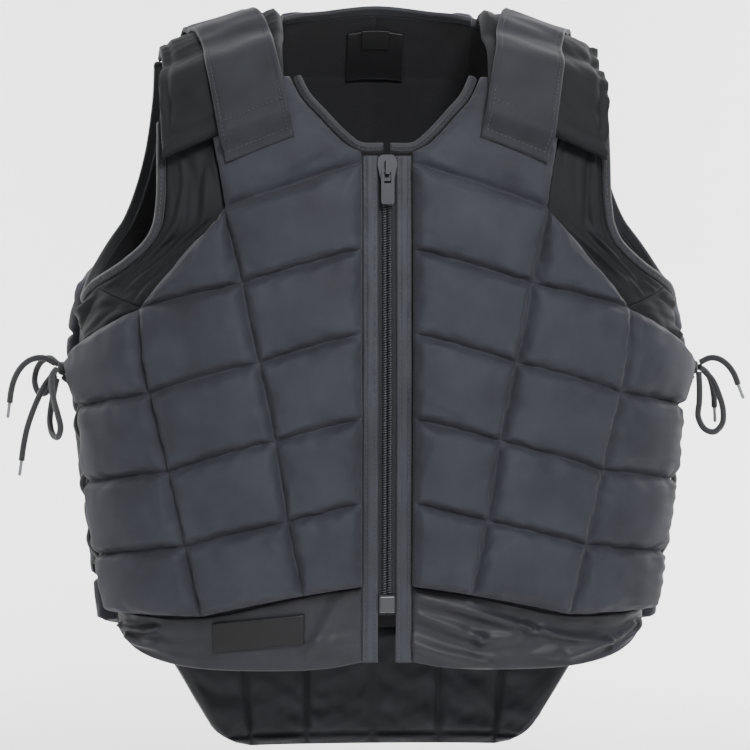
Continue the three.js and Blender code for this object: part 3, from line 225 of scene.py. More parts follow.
def tube_object(name, line, radii, sides, material):
    """A round tube along a line in millimetres, closed at both ends, with its UV in millimetres."""
    ways, across, over = carried_frames(line)
    turns = np.linspace(0, 2 * math.pi, sides, endpoint=False)
    radii = np.broadcast_to(radii, len(line))
    rings = line[:, None] + radii[:, None, None] * (
        np.cos(turns)[None, :, None] * across[:, None] + np.sin(turns)[None, :, None] * over[:, None])
    count = len(line)
    points = np.vstack([rings.reshape(-1, 3), line[:1] - ways[:1] * radii[0] * 0.3,
                        line[-1:] + ways[-1:] * radii[-1] * 0.3]) * MM
    faces = []
    for i in range(count - 1):
        for j in range(sides):
            k = (j + 1) % sides
            faces.append((i * sides + j, i * sides + k, (i + 1) * sides + k, (i + 1) * sides + j))
    for j in range(sides):
        k = (j + 1) % sides
        faces.append((count * sides, k, j))
        faces.append((count * sides + 1, (count - 1) * sides + j, (count - 1) * sides + k))
    made = mesh_object(name, points, faces, [material])
    reach = np.concatenate([[0], np.cumsum(np.linalg.norm(np.diff(line, axis=0), axis=1))])
    wrap = 2 * math.pi * radii.mean()
    layer = made.data.uv_layers.new(name="along the cord")
    uv = []
    for i in range(count - 1):
        for j in range(sides):
            for row, turn in ((i, j), (i, j + 1), (i + 1, j + 1), (i + 1, j)):
                uv.append((wrap * turn / sides * MM, reach[row] * MM))
    for j in range(sides):
        uv += [(0, 0)] * 3 + [(0, reach[-1] * MM)] * 3
    layer.data.foreach_set("uv", np.array(uv, float).ravel())
    return made


def dress(piece, node=None):
    """The piece rides the vest and is shown in place of its plain solid."""
    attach(piece, VEST)
    if node:
        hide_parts(node)


# Polyester braid: matt, with a dry sheen, and yarns that cross every 1.6 mm. Their bump, and a painted
# highlight on the yarn crests with painted shade between them, throw the small checkered glints along the
# lace
BRAID_PITCH = 1.6 * MM
lace_braid, tree, shader = new_material("black polyester braid")
uv = add_node(tree, "ShaderNodeUVMap").outputs["UV"]
apart = add_node(tree, "ShaderNodeSeparateXYZ", Vector=uv)
leanings = []
for sign in (1, -1):
    leaning = add_node(tree, "ShaderNodeMath", {"operation": "MULTIPLY_ADD"},
                       i0=apart.outputs["X"], i1=float(sign), i2=apart.outputs["Y"])
    turned = add_node(tree, "ShaderNodeMath", {"operation": "MULTIPLY"},
                      i0=leaning.outputs[0], i1=2 * math.pi / (1.4 * BRAID_PITCH))
    leanings.append(add_node(tree, "ShaderNodeMath", {"operation": "SINE"}, i0=turned.outputs[0]))
yarns = add_node(tree, "ShaderNodeMath", {"operation": "MULTIPLY"},
                 i0=leanings[0].outputs[0], i1=leanings[1].outputs[0])
# Painted highlight and painted shade: the colour is lighter on the yarn crests and darker between them
yarn_glint_share = add_node(tree, "ShaderNodeMapRange", Value=yarns.outputs[0], From_Min=-1.0)
colour = add_node(tree, "ShaderNodeMix", {"data_type": "RGBA"}, i0=yarn_glint_share.outputs[0],
                  i6=to_linear("#0B0B0D"), i7=to_linear("#232428"))
tree.links.new(colour.outputs[2], shader.inputs["Base Color"])
bump = add_node(tree, "ShaderNodeBump", Strength=0.8, Distance=0.25 * MM, Height=yarns.outputs[0])
tree.links.new(bump.outputs[0], shader.inputs["Normal"])
shader.inputs["Roughness"].default_value = 0.72
shader.inputs["Sheen Weight"].default_value = 0.15

# The ends are crimped twice in a grey acetate tip, which is smooth and half glossy
aglet_acetate, tree, shader = new_material("grey acetate tip")
shader.inputs["Base Color"].default_value = to_linear("#6B6D70")
shader.inputs["Roughness"].default_value = 0.32
AGLET_LENGTH = 11.0
AGLET_DIAMETER = 2.6
# Each crimp: its place along the tip and its depth as a share of the radius
AGLET_CRIMPS = ((3.5, 0.12), (6.5, 0.1))
CRIMP_HALF_WIDTH = 0.8
LACE_STEP = 0.9
for name, route in LACE_ROUTES.items():
    line, length = evenly(through(route), LACE_STEP)
    cord = tube_object(name + "_braid", line, LACE_DIAMETER / 2, 20, lace_braid)
    if "end" in name:
        way = np.array(route[-1], float) - np.array(route[-2], float)
        way /= np.linalg.norm(way)
        reach = np.linspace(-1.5, AGLET_LENGTH + 0.3, 26)
        crimped = np.ones(len(reach))
        for crimp, depth in AGLET_CRIMPS:
            crimped = crimped - depth * np.exp(-((reach - crimp) / CRIMP_HALF_WIDTH) ** 2)
        radii = AGLET_DIAMETER / 2 * crimped * np.clip((AGLET_LENGTH + 0.8 - reach) / 1.2, 0.45, 1)
        tip = tube_object(name.replace("lace_end", "aglet") + "_tip", line[-1] + reach[:, None] * way,
                          radii, 16, aglet_acetate)
        dress(tip, name.replace("lace_end", "aglet"))
    dress(cord, name)


# Front panels: foam blocks sealed between two sheets of matt nylon and quilted in a slanting grid,
# with one tall block up to the shoulder. Every block swells between its sewn seams.
CHEST_HALF_WIDTH = 214.0
FRONT_DEPTH = 98.0
BACK_DEPTH = 82.0
BODY_DROP = 450.0
SQUARENESS = 2.4
ARCH_BASE = -130.0
ARCH = 150.0
SHOULDER_SEAT_X = 139.0
SHOULDER_SLOPE = 0.35
NAPE_ROUND = 30.0
SECTIONS = np.array([
    # drop, width, front, back, as shares of the body's drop, half-width and depths
    (0.29, 0.985, 0.96, 1.0),
    (0.49, 1.02, 1.0, 1.0),
    (0.58, 1.0, 1.0, 0.97),
    (0.7, 0.975, 0.98, 0.93),
    (0.88, 0.93, 0.94, 0.92),
    (1.0, 0.9, 0.9, 0.94),
    (1.17, 0.86, 0.86, 0.98),
])


def section_at(height):
    """The lining's half-width and its depths to the front and the back at a height."""
    drop = -np.asarray(height, float) / BODY_DROP
    last = len(SECTIONS) - 2
    i = np.clip(np.searchsorted(SECTIONS[1:, 0], drop, side="left"), 0, last)
    a, b = SECTIONS[i], SECTIONS[i + 1]
    before, after = SECTIONS[np.maximum(i - 1, 0)], SECTIONS[np.minimum(i + 2, last + 1)]
    span = (b[..., :1] - a[..., :1])
    t = np.clip((drop[..., None] - a[..., :1]) / span, 0, 1.2)
    slope_a = (b - before) / (b[..., :1] - before[..., :1]) * span
    slope_b = (after - a) / (after[..., :1] - a[..., :1]) * span
    row = ((2 * t ** 3 - 3 * t ** 2 + 1) * a + (t ** 3 - 2 * t ** 2 + t) * slope_a
           + (3 * t ** 2 - 2 * t ** 3) * b + (t ** 3 - t ** 2) * slope_b)
    return CHEST_HALF_WIDTH * row[..., 1], FRONT_DEPTH * row[..., 2], BACK_DEPTH * row[..., 3]


def ridge_rise(x):
    return SHOULDER_SLOPE * (SHOULDER_SEAT_X - np.hypot(x, NAPE_ROUND)) - ARCH_BASE


def lining(phi, h):
    """The lining's point for a turn phi from the front centre and a height h, which runs on over
    the shoulder above ARCH_BASE."""
    phi, h = np.broadcast_arrays(np.asarray(phi, float), np.asarray(h, float))
    half, front, back = section_at(np.minimum(h, ARCH_BASE))
    power = 2 / SQUARENESS
    sine, cosine = np.sin(phi), np.cos(phi)
    x = half * np.sign(sine) * np.abs(sine) ** power
    share = np.abs(cosine) ** power
    near = np.where(cosine > 0, -front, back)
    far = np.where(cosine > 0, back, -front)
    turn = (h - ARCH_BASE) / ARCH * math.pi / 2
    over = h > ARCH_BASE
    y = np.where(over, np.where(turn <= math.pi / 2, near, far) * np.abs(np.cos(turn)), near) * share
    z = np.where(over, ARCH_BASE + ridge_rise(x) * np.sin(turn), h)
    return np.stack([x, y, z], -1)


def outward(phi, h):
    """The unit normal of the lining's surface, away from the wearer."""
    small = 0.004
    phi, h = np.broadcast_arrays(np.asarray(phi, float), np.asarray(h, float))
    side = np.where(np.cos(phi) >= 0, 1, -1)
    off = np.where(np.abs(np.cos(phi)) < 3 * small, 4 * small, 0)
    at = phi - np.sign(np.sin(phi)) * off * side
    normal = np.cross(lining(at + small, h) - lining(at - small, h), lining(at, h + 1) - lining(at, h - 1))
    return normal / np.linalg.norm(normal, axis=-1, keepdims=True)


def skin(phi, h, out):
    """The point at a distance outside the lining."""
    return lining(phi, h) + outward(phi, h) * np.asarray(out, float)[..., None]


def place(x, z, side="front"):
    """(phi, h) of a point at distance x from the centre plane and height z."""
    half = section_at(min(z, ARCH_BASE))[0] + SEAM
    angle = math.asin(min(abs(x) / half, 1) ** (SQUARENESS / 2))
    climb = min((z - ARCH_BASE) / ridge_rise(x), 1)
    return np.array([angle if side == "front" else math.pi - angle,
                     z if z <= ARCH_BASE else ARCH_BASE + ARCH * math.asin(climb) / (math.pi / 2)])


def place_on_arch(x, degrees, side="front"):
    return np.array([place(x, ARCH_BASE, side)[0], ARCH_BASE + ARCH * degrees / 90])


def rail(a, b):
    """A straight line on the (phi, h) plane, for a parameter from 0 to 1."""
    return lambda t: np.asarray(a) + (np.asarray(b) - np.asarray(a)) * np.asarray(t, float)[..., None]


def stretch(line, start, end):
    return lambda t: line(start + (end - start) * np.asarray(t, float))


RAIL_SCALE = 180.0


def smooth(points):
    """A rail that runs smoothly through the points, at an even pace."""
    points = np.array(points, float)
    flat = np.stack([points[:, 0] * RAIL_SCALE, points[:, 1], np.zeros(len(points))], 1)
    line = through(flat, 80)
    reach = np.concatenate([[0], np.cumsum(np.linalg.norm(np.diff(line, axis=0), axis=1))])
    reach /= reach[-1]
    return lambda t: np.stack([np.interp(t, reach, line[:, 0]) / RAIL_SCALE,
                               np.interp(t, reach, line[:, 1])], -1)


def beside(line, distance):
    """A rail that runs beside another, to its left when the distance is positive."""
    def moved(t):
        t = np.asarray(t, float)
        small = 0.004
        step = line(np.clip(t + small, 0, 1)) - line(np.clip(t - small, 0, 1))
        at = line(t)
        phi, h = at[..., 0], at[..., 1]
        wide = np.linalg.norm(lining(phi + 0.01, h) - lining(phi - 0.01, h), axis=-1) / 0.02
        tall = np.linalg.norm(lining(phi, h + 1) - lining(phi, h - 1), axis=-1) / 2
        along = np.stack([step[..., 0] * wide, step[..., 1] * tall], -1)
        along /= np.linalg.norm(along, axis=-1, keepdims=True)
        return np.stack([phi - along[..., 1] * distance / wide, h + along[..., 0] * distance / tall], -1)
    return moved


PAD = 17.0
SHOULDER_PAD = 11.0
SEAM = 4.5
CROWN = 2.0
GAP = 0.3
LAYER_GAP = 0.6
CURVE_GAP = 1.2
FIRST_ROW_DROP = 90.5
ROW_PITCH = 60.0
ROWS = 6
PLACKET_EDGE = 18.0
FRONT_SIDE_ANGLE = 78.0
SIDE_TOP = {"drop": 231.0, "turn": 1.1}
FRONT_SEAMS = [
    {"inner": (0.51, 0.544)},
    {"inner": (0.41, 0.484), "outer": (0.71, 0.819)},
    {"inner": (0.34, 0.43), "outer": (0.7, 0.785), "side": (0.89, 1.0)},
    {"inner": (0.26, 0.376), "outer": (0.63, 0.724), "side": (0.8, 1.0)},
    {"inner": (0.22, 0.336), "outer": (0.53, 0.671), "side": (0.68, 0.985)},
    {"inner": (0.11, 0.285), "outer": (0.37, 0.618), "side": (0.37, 0.945)},
]
front_edge = PLACKET_EDGE + GAP


def row_height(row):
    return -(FIRST_ROW_DROP + row * ROW_PITCH)


def seam_node(row, which):
    if which == "zip":
        return place(front_edge, row_height(row))
    drop, reach = FRONT_SEAMS[row][which]
    height = row_height(row) - drop * ROW_PITCH
    if which == "side":
        return np.array([math.radians(FRONT_SIDE_ANGLE) * reach, height])
    return place(reach * CHEST_HALF_WIDTH, height)


side_top = np.array([math.radians(FRONT_SIDE_ANGLE) * SIDE_TOP["turn"], -SIDE_TOP["drop"]])
NECK_HALF_WIDTH = 76.0
NECK_DROP = 78.0
SHOULDER_HALF_WIDTH = 166.0
ARMHOLE_DROP = 186.0
BACK_SIDE_ANGLE = 94.0
BACK_TOP_TURN = 78.0
BINDING_WIDTH = 6.5
BINDING_HEIGHT = 5.0
binding_room = BINDING_WIDTH / 2 + GAP
# The neckline's rows give x and drop as shares of the neck's half-width and drop. The armhole's
# give the way out from the shoulder's half-width to the chest's and the armhole's drop, as shares
NECKLINE = [(0, 1.0), (0.26, 0.99), (0.42, 0.88), (0.6, 0.7), (0.76, 0.53), (0.86, 0.34)]
neck_front = smooth([place(x * NECK_HALF_WIDTH, -drop * NECK_DROP) for x, drop in NECKLINE])
ARMHOLE_FRONT = [(-0.052, 0.3), (-0.052, 0.45), (-0.035, 0.64), (0.104, 0.765), (0.484, 0.86), (0.951, 0.94)]
ARMHOLE_BACK = [(1.003, 0.9), (0.761, 0.79), (0.415, 0.64), (0.173, 0.44), (0.035, 0.22)]


def armhole_place(out, drop, side):
    x = SHOULDER_HALF_WIDTH + (CHEST_HALF_WIDTH - SHOULDER_HALF_WIDTH) * out
    return place(x, -drop * ARMHOLE_DROP, side)


armhole = smooth(
    [armhole_place(out, drop, "front") for out, drop in ARMHOLE_FRONT]
    + [(math.pi / 2, -ARMHOLE_DROP)]
    + [armhole_place(out, drop, "back") for out, drop in ARMHOLE_BACK]
    + [place_on_arch(SHOULDER_HALF_WIDTH, BACK_TOP_TURN, "back")])
FACING_END = 0.33
SIDE_START = 0.46
SIDE_END = 0.53
ARM_BINDING_END = 0.985
in_armhole = beside(armhole, -binding_room - LAYER_GAP)
PANEL_TOP_TURN = 45.0
NECK_SHARE = 0.1
neck_edge = beside(neck_front, -binding_room - LAYER_GAP)
neck_corner = place(front_edge + GAP, -(NECK_DROP + binding_room))
neck_side = smooth([neck_corner] + [neck_edge(np.array(t))
                                    for t in (0.25, 0.33, 0.42, 0.52, 0.64, 0.76, 0.88, 1.0)])
BLOCK_TOP_SHARE = 0.81
BLOCK_MIDDLE_SHARES = (0.745, 0.43)
shoulder_corner = place_on_arch(BLOCK_TOP_SHARE * SHOULDER_HALF_WIDTH, PANEL_TOP_TURN)
shoulder_middle = place(BLOCK_MIDDLE_SHARES[0] * SHOULDER_HALF_WIDTH, -BLOCK_MIDDLE_SHARES[1] * ARMHOLE_DROP)
shoulder_run = smooth([seam_node(0, "inner"), shoulder_middle, shoulder_corner])


def neck_run(t):
    t = np.asarray(t, float)
    low = rail(seam_node(0, "zip"), neck_corner)(np.clip(t / NECK_SHARE, 0, 1))
    high = neck_side(np.clip((t - NECK_SHARE) / (1 - NECK_SHARE), 0, 1))
    return np.where((t < NECK_SHARE)[..., None], low, high)


def soft_noise(points, size, seed):
    """Smooth noise from -1 to 1 at points in millimetres, with swells about a size across."""
    rng = np.random.default_rng(seed)
    total = np.zeros(points.shape[:-1])
    for octave in range(3):
        for _ in range(5):
            way = rng.normal(size=3)
            way *= 2 ** octave * 2 * math.pi / size / np.linalg.norm(way)
            total += np.sin(points @ way + rng.uniform(0, 2 * math.pi)) / (1.7 ** octave * 3.2)
    return total


class Sheet:
    """Patches on the lining surface, each between two rails, that share their edges."""

    def __init__(self):
        self.at, self.inner, self.outer, self.faces, self.pinned = [], [], [], [], []

    def patch(self, rail_a, rail_b, across, down, inner, outer):
        u, v = np.meshgrid(across, down)
        a, b = rail_a(v), rail_b(v)
        first = len(self.at)
        self.at += list((a + (b - a) * u[..., None]).reshape(-1, 2))
        wide = np.linalg.norm(lining(*b[:, 0].T) - lining(*a[:, 0].T), axis=-1).mean()
        tall = np.linalg.norm(np.diff(lining(*a[:, 0].T), axis=0), axis=-1).sum()
        high = np.linalg.norm(np.diff(lining(*b[:, 0].T), axis=0), axis=-1).sum()
        sizes = {"wide": max(wide, 1), "tall": max((tall + high) / 2, 1)}
        self.inner += list(np.broadcast_to(inner(u, v, sizes), u.shape).ravel())
        self.outer += list(np.broadcast_to(outer(u, v, sizes), u.shape).ravel())
        edge = (u == 0) | (u == 1) | (v == 0) | (v == 1)
        self.pinned += list(edge.ravel())
        wide_count = len(across)
        for i in range(len(down) - 1):
            for j in range(wide_count - 1):
                k = first + i * wide_count + j
                self.faces.append((k, k + 1, k + wide_count + 1, k + wide_count))
        return self

    def mirrored_patch(self, rail_a, rail_b, *rest):
        """A patch and its mirror image across the back's middle."""
        self.patch(rail_a, rail_b, *rest)
        return self.patch(across_back(rail_a), across_back(rail_b), *rest)

    def joined(self):
        """Points with shared edges merged: places, inner, outer, pins and outward faces."""
        at = np.array(self.at)
        keys = np.round(at * (1e4, 1e2)).astype(np.int64)
        _, chosen, back = np.unique(keys, axis=0, return_index=True, return_inverse=True)
        back = back.ravel()
        pinned = np.zeros(len(chosen), bool)
        np.logical_or.at(pinned, back, np.array(self.pinned))
        faces = []
        for face in self.faces:
            ring = [back[i] for i in face]
            ring = [p for k, p in enumerate(ring) if p != ring[k - 1]]
            if len(set(ring)) < 3:
                continue
            x, y = at[chosen[ring]].T
            area = np.sum(x * np.roll(y, -1) - np.roll(x, -1) * y)
            faces.append(ring if area > 0 else ring[::-1])
        return at[chosen], np.array(self.inner)[chosen], np.array(self.outer)[chosen], pinned, faces


def across_back(line):
    return lambda t: line(t) * (-1, 1) + (2 * math.pi, 0)


def close_wall(name, at, inner, outer, faces, materials, mirrored=False, smoothing=0):
    """A closed soft wall from its outer and inner points, with its UV in metres of cloth."""
    count = len(at)
    outer, inner = np.array(outer), np.array(inner)
    uv = np.stack([at[:, 0] * RAIL_SCALE, at[:, 1]], 1) * MM
    points = np.vstack([outer, inner]) * MM
    if mirrored:
        points = points * (-1, 1, 1)
        uv = uv * (-1, 1)
    edges = {}
    for ring in faces:
        for k, p in enumerate(ring):
            edges[(ring[k - 1], p)] = True
    rims = [edge for edge in edges if (edge[1], edge[0]) not in edges]
    solid = [list(r) for r in faces] + [[i + count for i in reversed(r)] for r in faces]
    solid += [[b, a, a + count, b + count] for a, b in rims]
    if mirrored:
        solid = [r[::-1] for r in solid]
    made = mesh_object(name, points, solid, materials)
    layer = made.data.uv_layers.new(name="cloth")
    loops = np.zeros(len(made.data.loops), np.int64)
    made.data.loops.foreach_get("vertex_index", loops)
    layer.data.foreach_set("uv", uv[loops % count].ravel())
    if len(materials) > 1:
        sides = [0] * len(faces) + [1] * len(faces) + [0] * len(rims)
        made.data.polygons.foreach_set("material_index", sides)
    if smoothing:
        finer = made.modifiers.new("finer", "SUBSURF")
        finer.levels = smoothing
        finer.render_levels = smoothing
    return made


def swell(points, faces, pinned, cap, growth=0.02, pressure=3.0, frames=16):
    """Cloth simulation of a quilted sheet: the seams are held, the cloth between them is a little
    larger than its place and the stuffing presses it out. Points in millimetres."""
    sheet = mesh_object("cloth_trial", points * MM, faces)
    pins = sheet.vertex_groups.new(name="pins")
    pins.add([int(i) for i in np.nonzero(pinned)[0]], 1.0, "REPLACE")
    cloth = sheet.modifiers.new("cloth", "CLOTH")
    settings = cloth.settings
    settings.quality = 6
    settings.mass = 0.05
    settings.tension_stiffness = 12
    settings.compression_stiffness = 12
    settings.shear_stiffness = 4
    settings.bending_stiffness = 0.4
    settings.shrink_min = -growth
    settings.vertex_group_mass = "pins"
    settings.use_pressure = True
    settings.uniform_pressure_force = pressure
    settings.effector_weights.gravity = 0
    cloth.collision_settings.use_collision = False
    scene = bpy.context.scene
    cloth.point_cache.frame_start = 1
    cloth.point_cache.frame_end = frames
    for number in range(1, frames + 1):
        scene.frame_set(number)
    found = sheet.evaluated_get(bpy.context.evaluated_depsgraph_get()).data
    moved = np.zeros(len(points) * 3)
    found.vertices.foreach_get("co", moved)
    moved = moved.reshape(-1, 3) / MM - points
    scene.frame_set(1)
    bpy.data.objects.remove(sheet)
    reach = np.linalg.norm(moved, axis=1)[:, None]
    return points + moved * (cap * np.tanh(reach / cap) / np.maximum(reach, 1e-6))


def stops(count):
    return np.linspace(0, 1, count + 1)


def block_stops(count):
    """Stops from 0 to 1, close together at both ends, where the cloth turns down into the seam."""
    even = np.linspace(0, 1, count + 1)
    return even - 0.1 * np.sin(2 * math.pi * even)


def foam_block(pad, edge=6.0, crown=CROWN, sunk=0.4, pucker=0.5):
    """The height over a block: it falls to its seam, which is sunk by a share of the padding, over
    a rounded edge, and its top is slightly crowned. The seam's thread draws the edge into puckers."""
    def height(u, v, sizes):
        def shoulder(t, span):
            near = np.clip(np.minimum(t, 1 - t) * span / min(edge, span * 0.3), 0, 1)
            return 0.35 * near ** 0.5 + 0.65 * (1 - (1 - near) ** 2)

        def drawn(t, span, along, seed):
            inside = np.minimum(t, 1 - t) * span
            where = np.stack([along / 8, (t > 0.5) * 9.0, 0 * along], -1)
            return soft_noise(where, 2.0, seed) * inside / 3 * np.exp(1 - inside / 3)
        top = pad + crown * np.sin(math.pi * u) * np.sin(math.pi * v)
        seed = int(sizes["wide"] * 7 + sizes["tall"] * 13)
        creased = pucker * (drawn(u, sizes["wide"], v * sizes["tall"], seed)
                            + drawn(v, sizes["tall"], u * sizes["wide"], seed + 1))
        fall = 1 - shoulder(u, sizes["wide"]) * shoulder(v, sizes["tall"])
        return top - sunk * pad * fall + creased
    return height


def lining_puff(u, v, sizes):
    """The lining's own low swell between the seams, towards the wearer."""
    def shoulder(t, span):
        return np.sin(math.pi / 2 * np.clip(np.minimum(t, 1 - t) * span / 7, 0, 1))
    return -1.1 * shoulder(u, sizes["wide"]) * shoulder(v, sizes["tall"])


def flat(value):
    return lambda u, v, sizes: np.full(np.shape(u), float(value))


def gathered_block(pad, gathers):
    """A foam block whose outer side edge is drawn up in short upright gathers."""
    plain = foam_block(pad)

    def height(u, v, sizes):
        edge = np.exp(-(1 - u) * sizes["wide"] / 9) * np.sin(math.pi * u)
        return plain(u, v, sizes) + gathers * edge * np.sin(v * sizes["tall"] / 1.7)
    return height


def front_panel_sheet(gathers):
    sheet = Sheet()
    across = block_stops(24)
    upright_stops = np.append(np.linspace(0, NECK_SHARE, 6), NECK_SHARE + (1 - NECK_SHARE) * stops(38)[1:])
    sheet.patch(neck_run, shoulder_run, across, upright_stops, lining_puff, foam_block(SHOULDER_PAD))
    for row in range(ROWS - 1):
        for left, right in [("zip", "inner"), ("inner", "outer"), ("outer", "side")][:row + 2]:
            rails = []
            for which in (left, right):
                above = seam_node(0, "inner") if (row, which) == (0, "outer") else (
                    side_top if (row, which) == (1, "side") else seam_node(row, which))
                rails.append(rail(above, seam_node(row + 1, which)))
            cut = gathered_block(PAD, gathers) if right == "side" and row > 1 else foam_block(PAD)
            sheet.patch(*rails, across, across, lining_puff, cut)
    return sheet.joined()


# Matt nylon taffeta in charcoal with a cool cast: a dry plain weave, which gives broad soft
# highlights on the blocks' edges. Its yarns, 0.25 mm apart, are drawn 1 mm apart so that they show
def woven_cloth(name, colour, pale, pitch_mm, relief_mm, roughness, sheen=0.1):
    material, tree, shader = new_material(name)
    uv = add_node(tree, "ShaderNodeUVMap").outputs["UV"]
    place_node = add_node(tree, "ShaderNodeTexCoord")
    apart = add_node(tree, "ShaderNodeSeparateXYZ", Vector=uv)
    waves = []
    for axis in ("X", "Y"):
        turned = add_node(tree, "ShaderNodeMath", {"operation": "MULTIPLY"},
                          i0=apart.outputs[axis], i1=2 * math.pi / (pitch_mm * MM))
        waves.append(add_node(tree, "ShaderNodeMath", {"operation": "SINE"}, i0=turned.outputs[0]))
    weave = add_node(tree, "ShaderNodeMath", {"operation": "MULTIPLY"},
                     i0=waves[0].outputs[0], i1=waves[1].outputs[0])
    slub = add_node(tree, "ShaderNodeTexNoise", Vector=place_node.outputs["Object"], Scale=420.0, Detail=3.0)
    relief = add_node(tree, "ShaderNodeMath", {"operation": "MULTIPLY_ADD"},
                      i0=slub.outputs["Fac"], i1=1.1, i2=weave.outputs[0])
    bump = add_node(tree, "ShaderNodeBump", Strength=0.55, Distance=relief_mm * MM, Height=relief.outputs[0])
    rub = add_node(tree, "ShaderNodeTexNoise", Vector=place_node.outputs["Object"], Scale=26.0, Detail=5.0,
                   Roughness=0.6)
    spread = add_node(tree, "ShaderNodeMapRange", Value=rub.outputs["Fac"], From_Min=0.3, From_Max=0.72)
    mixed = add_node(tree, "ShaderNodeMix", {"data_type": "RGBA"}, i0=spread.outputs[0],
                     i6=to_linear(colour), i7=to_linear(pale))
    tree.links.new(mixed.outputs[2], shader.inputs["Base Color"])
    tree.links.new(bump.outputs[0], shader.inputs["Normal"])
    shader.inputs["Roughness"].default_value = roughness
    shader.inputs["Specular IOR Level"].default_value = 0.28
    shader.inputs["Sheen Weight"].default_value = sheen
    shader.inputs["Sheen Roughness"].default_value = 0.5
    return material


nylon_taffeta = woven_cloth("matt charcoal nylon taffeta", "#1D1E25", "#2A2B33", 1.0, 0.06, 0.74, 0.05)
# Warp-knit polyester mesh, near black, seen only inside: its holes show as a soft dotted grain
lining_mesh = woven_cloth("black polyester lining mesh", "#0B0B0E", "#121216", 2.2, 0.12, 0.85)


def quilted_piece(name, joined, node, materials, dents, cap, mirrored=False, smoothing=0):
    """A padded piece from its joined sheet. Its cloth has dents of a size, depth and seed, and swells
    by less than the cap."""
    at, low, high, pinned, faces = joined
    size, depth, seed = dents
    base = skin(at[:, 0], at[:, 1], high)
    dented = high + soft_noise(base * (-1 if mirrored else 1, 1, 1), size, seed) * depth * (high - SEAM) / PAD
    outer = swell(skin(at[:, 0], at[:, 1], dented), faces, pinned, cap)
    piece = close_wall(name, at, skin(at[:, 0], at[:, 1], low), outer, faces, materials, mirrored, smoothing)
    dress(piece, node)


BOARD_DENT_SIZE = 46
BOARD_DENT_DEPTH = 0.6
BOARD_SWELL = 1.3
for side, mirrored, seed, gathers in (("left", False, 11, 4.5), ("right", True, 23, 1.2)):
    quilted_piece("front_panel_quilted_" + side, front_panel_sheet(gathers), "front_panel_" + side,
                  [nylon_taffeta, lining_mesh],
                  (BOARD_DENT_SIZE, BOARD_DENT_DEPTH, seed), BOARD_SWELL, mirrored, 1)


# Stitching: bonded nylon thread in short rounded stitches that lie in the cloth. Each row is a run
# of points, and the nodes set one stitch on each, along the seam and flat on the cloth
STITCH_PITCH = 3.4
STITCH_LENGTH = 2.5
THREAD = 0.55
nylon_thread, _, thread_shader = new_material("grey bonded nylon thread")
thread_shader.inputs["Base Color"].default_value = to_linear("#2E3035")
thread_shader.inputs["Roughness"].default_value = 0.5


def instancing_group(name, material, fine=False):
    """Nodes that set a small ball on every point, turned by the point's along and up vectors and
    stretched to the size. A fine one has more faces."""
    tree = bpy.data.node_groups.new(name, "GeometryNodeTree")
    tree.interface.new_socket("Points", in_out="INPUT", socket_type="NodeSocketGeometry")
    size = tree.interface.new_socket("Size", in_out="INPUT", socket_type="NodeSocketVector")
    tree.interface.new_socket("Mesh", in_out="OUTPUT", socket_type="NodeSocketGeometry")
    start = tree.nodes.new("NodeGroupInput")
    ways = [add_node(tree, "GeometryNodeInputNamedAttribute", {"data_type": "FLOAT_VECTOR"}, Name=n)
            for n in ("along", "up")]
    turn = add_node(tree, "FunctionNodeAxesToRotation", {"primary_axis": "X", "secondary_axis": "Z"},
                    i0=ways[0].outputs["Attribute"], i1=ways[1].outputs["Attribute"])
    if fine:
        shape = add_node(tree, "GeometryNodeMeshIcoSphere", Subdivisions=2, Radius=0.5)
    else:
        shape = add_node(tree, "GeometryNodeMeshUVSphere", Segments=6, Rings=5, Radius=0.5)
    placed = add_node(tree, "GeometryNodeInstanceOnPoints", Points=start.outputs["Points"],
                      Instance=shape.outputs["Mesh"], Rotation=turn.outputs[0], Scale=start.outputs["Size"])
    real = add_node(tree, "GeometryNodeRealizeInstances", Geometry=placed.outputs[0])
    smooth_node = add_node(tree, "GeometryNodeSetShadeSmooth", Geometry=real.outputs[0])
    coloured = add_node(tree, "GeometryNodeSetMaterial", Geometry=smooth_node.outputs[0], Material=material)
    end = tree.nodes.new("NodeGroupOutput")
    tree.links.new(coloured.outputs[0], end.inputs["Mesh"])
    return tree, size.identifier


stitch_nodes, stitch_size = instancing_group("stitch row", nylon_thread)


def set_on_points(name, points, along, up, nodes, size_socket, size):
    """A plain mesh of small bodies set on points, all in millimetres."""
    made = mesh_object(name + "_points", np.asarray(points) * MM, [])
    for key, vectors in (("along", along), ("up", up)):
        layer = made.data.attributes.new(key, "FLOAT_VECTOR", "POINT")
        layer.data.foreach_set("vector", np.asarray(vectors, float).ravel())
    modifier = made.modifiers.new("rows", "NODES")
    modifier.node_group = nodes
    modifier[size_socket] = [v * MM for v in size]
    seen = made.evaluated_get(bpy.context.evaluated_depsgraph_get())
    mesh = bpy.data.meshes.new_from_object(seen)
    mesh.name = name
    bpy.data.objects.remove(made)
    real = bpy.data.objects.new(name, mesh)
    bpy.context.scene.collection.objects.link(real)
    return real


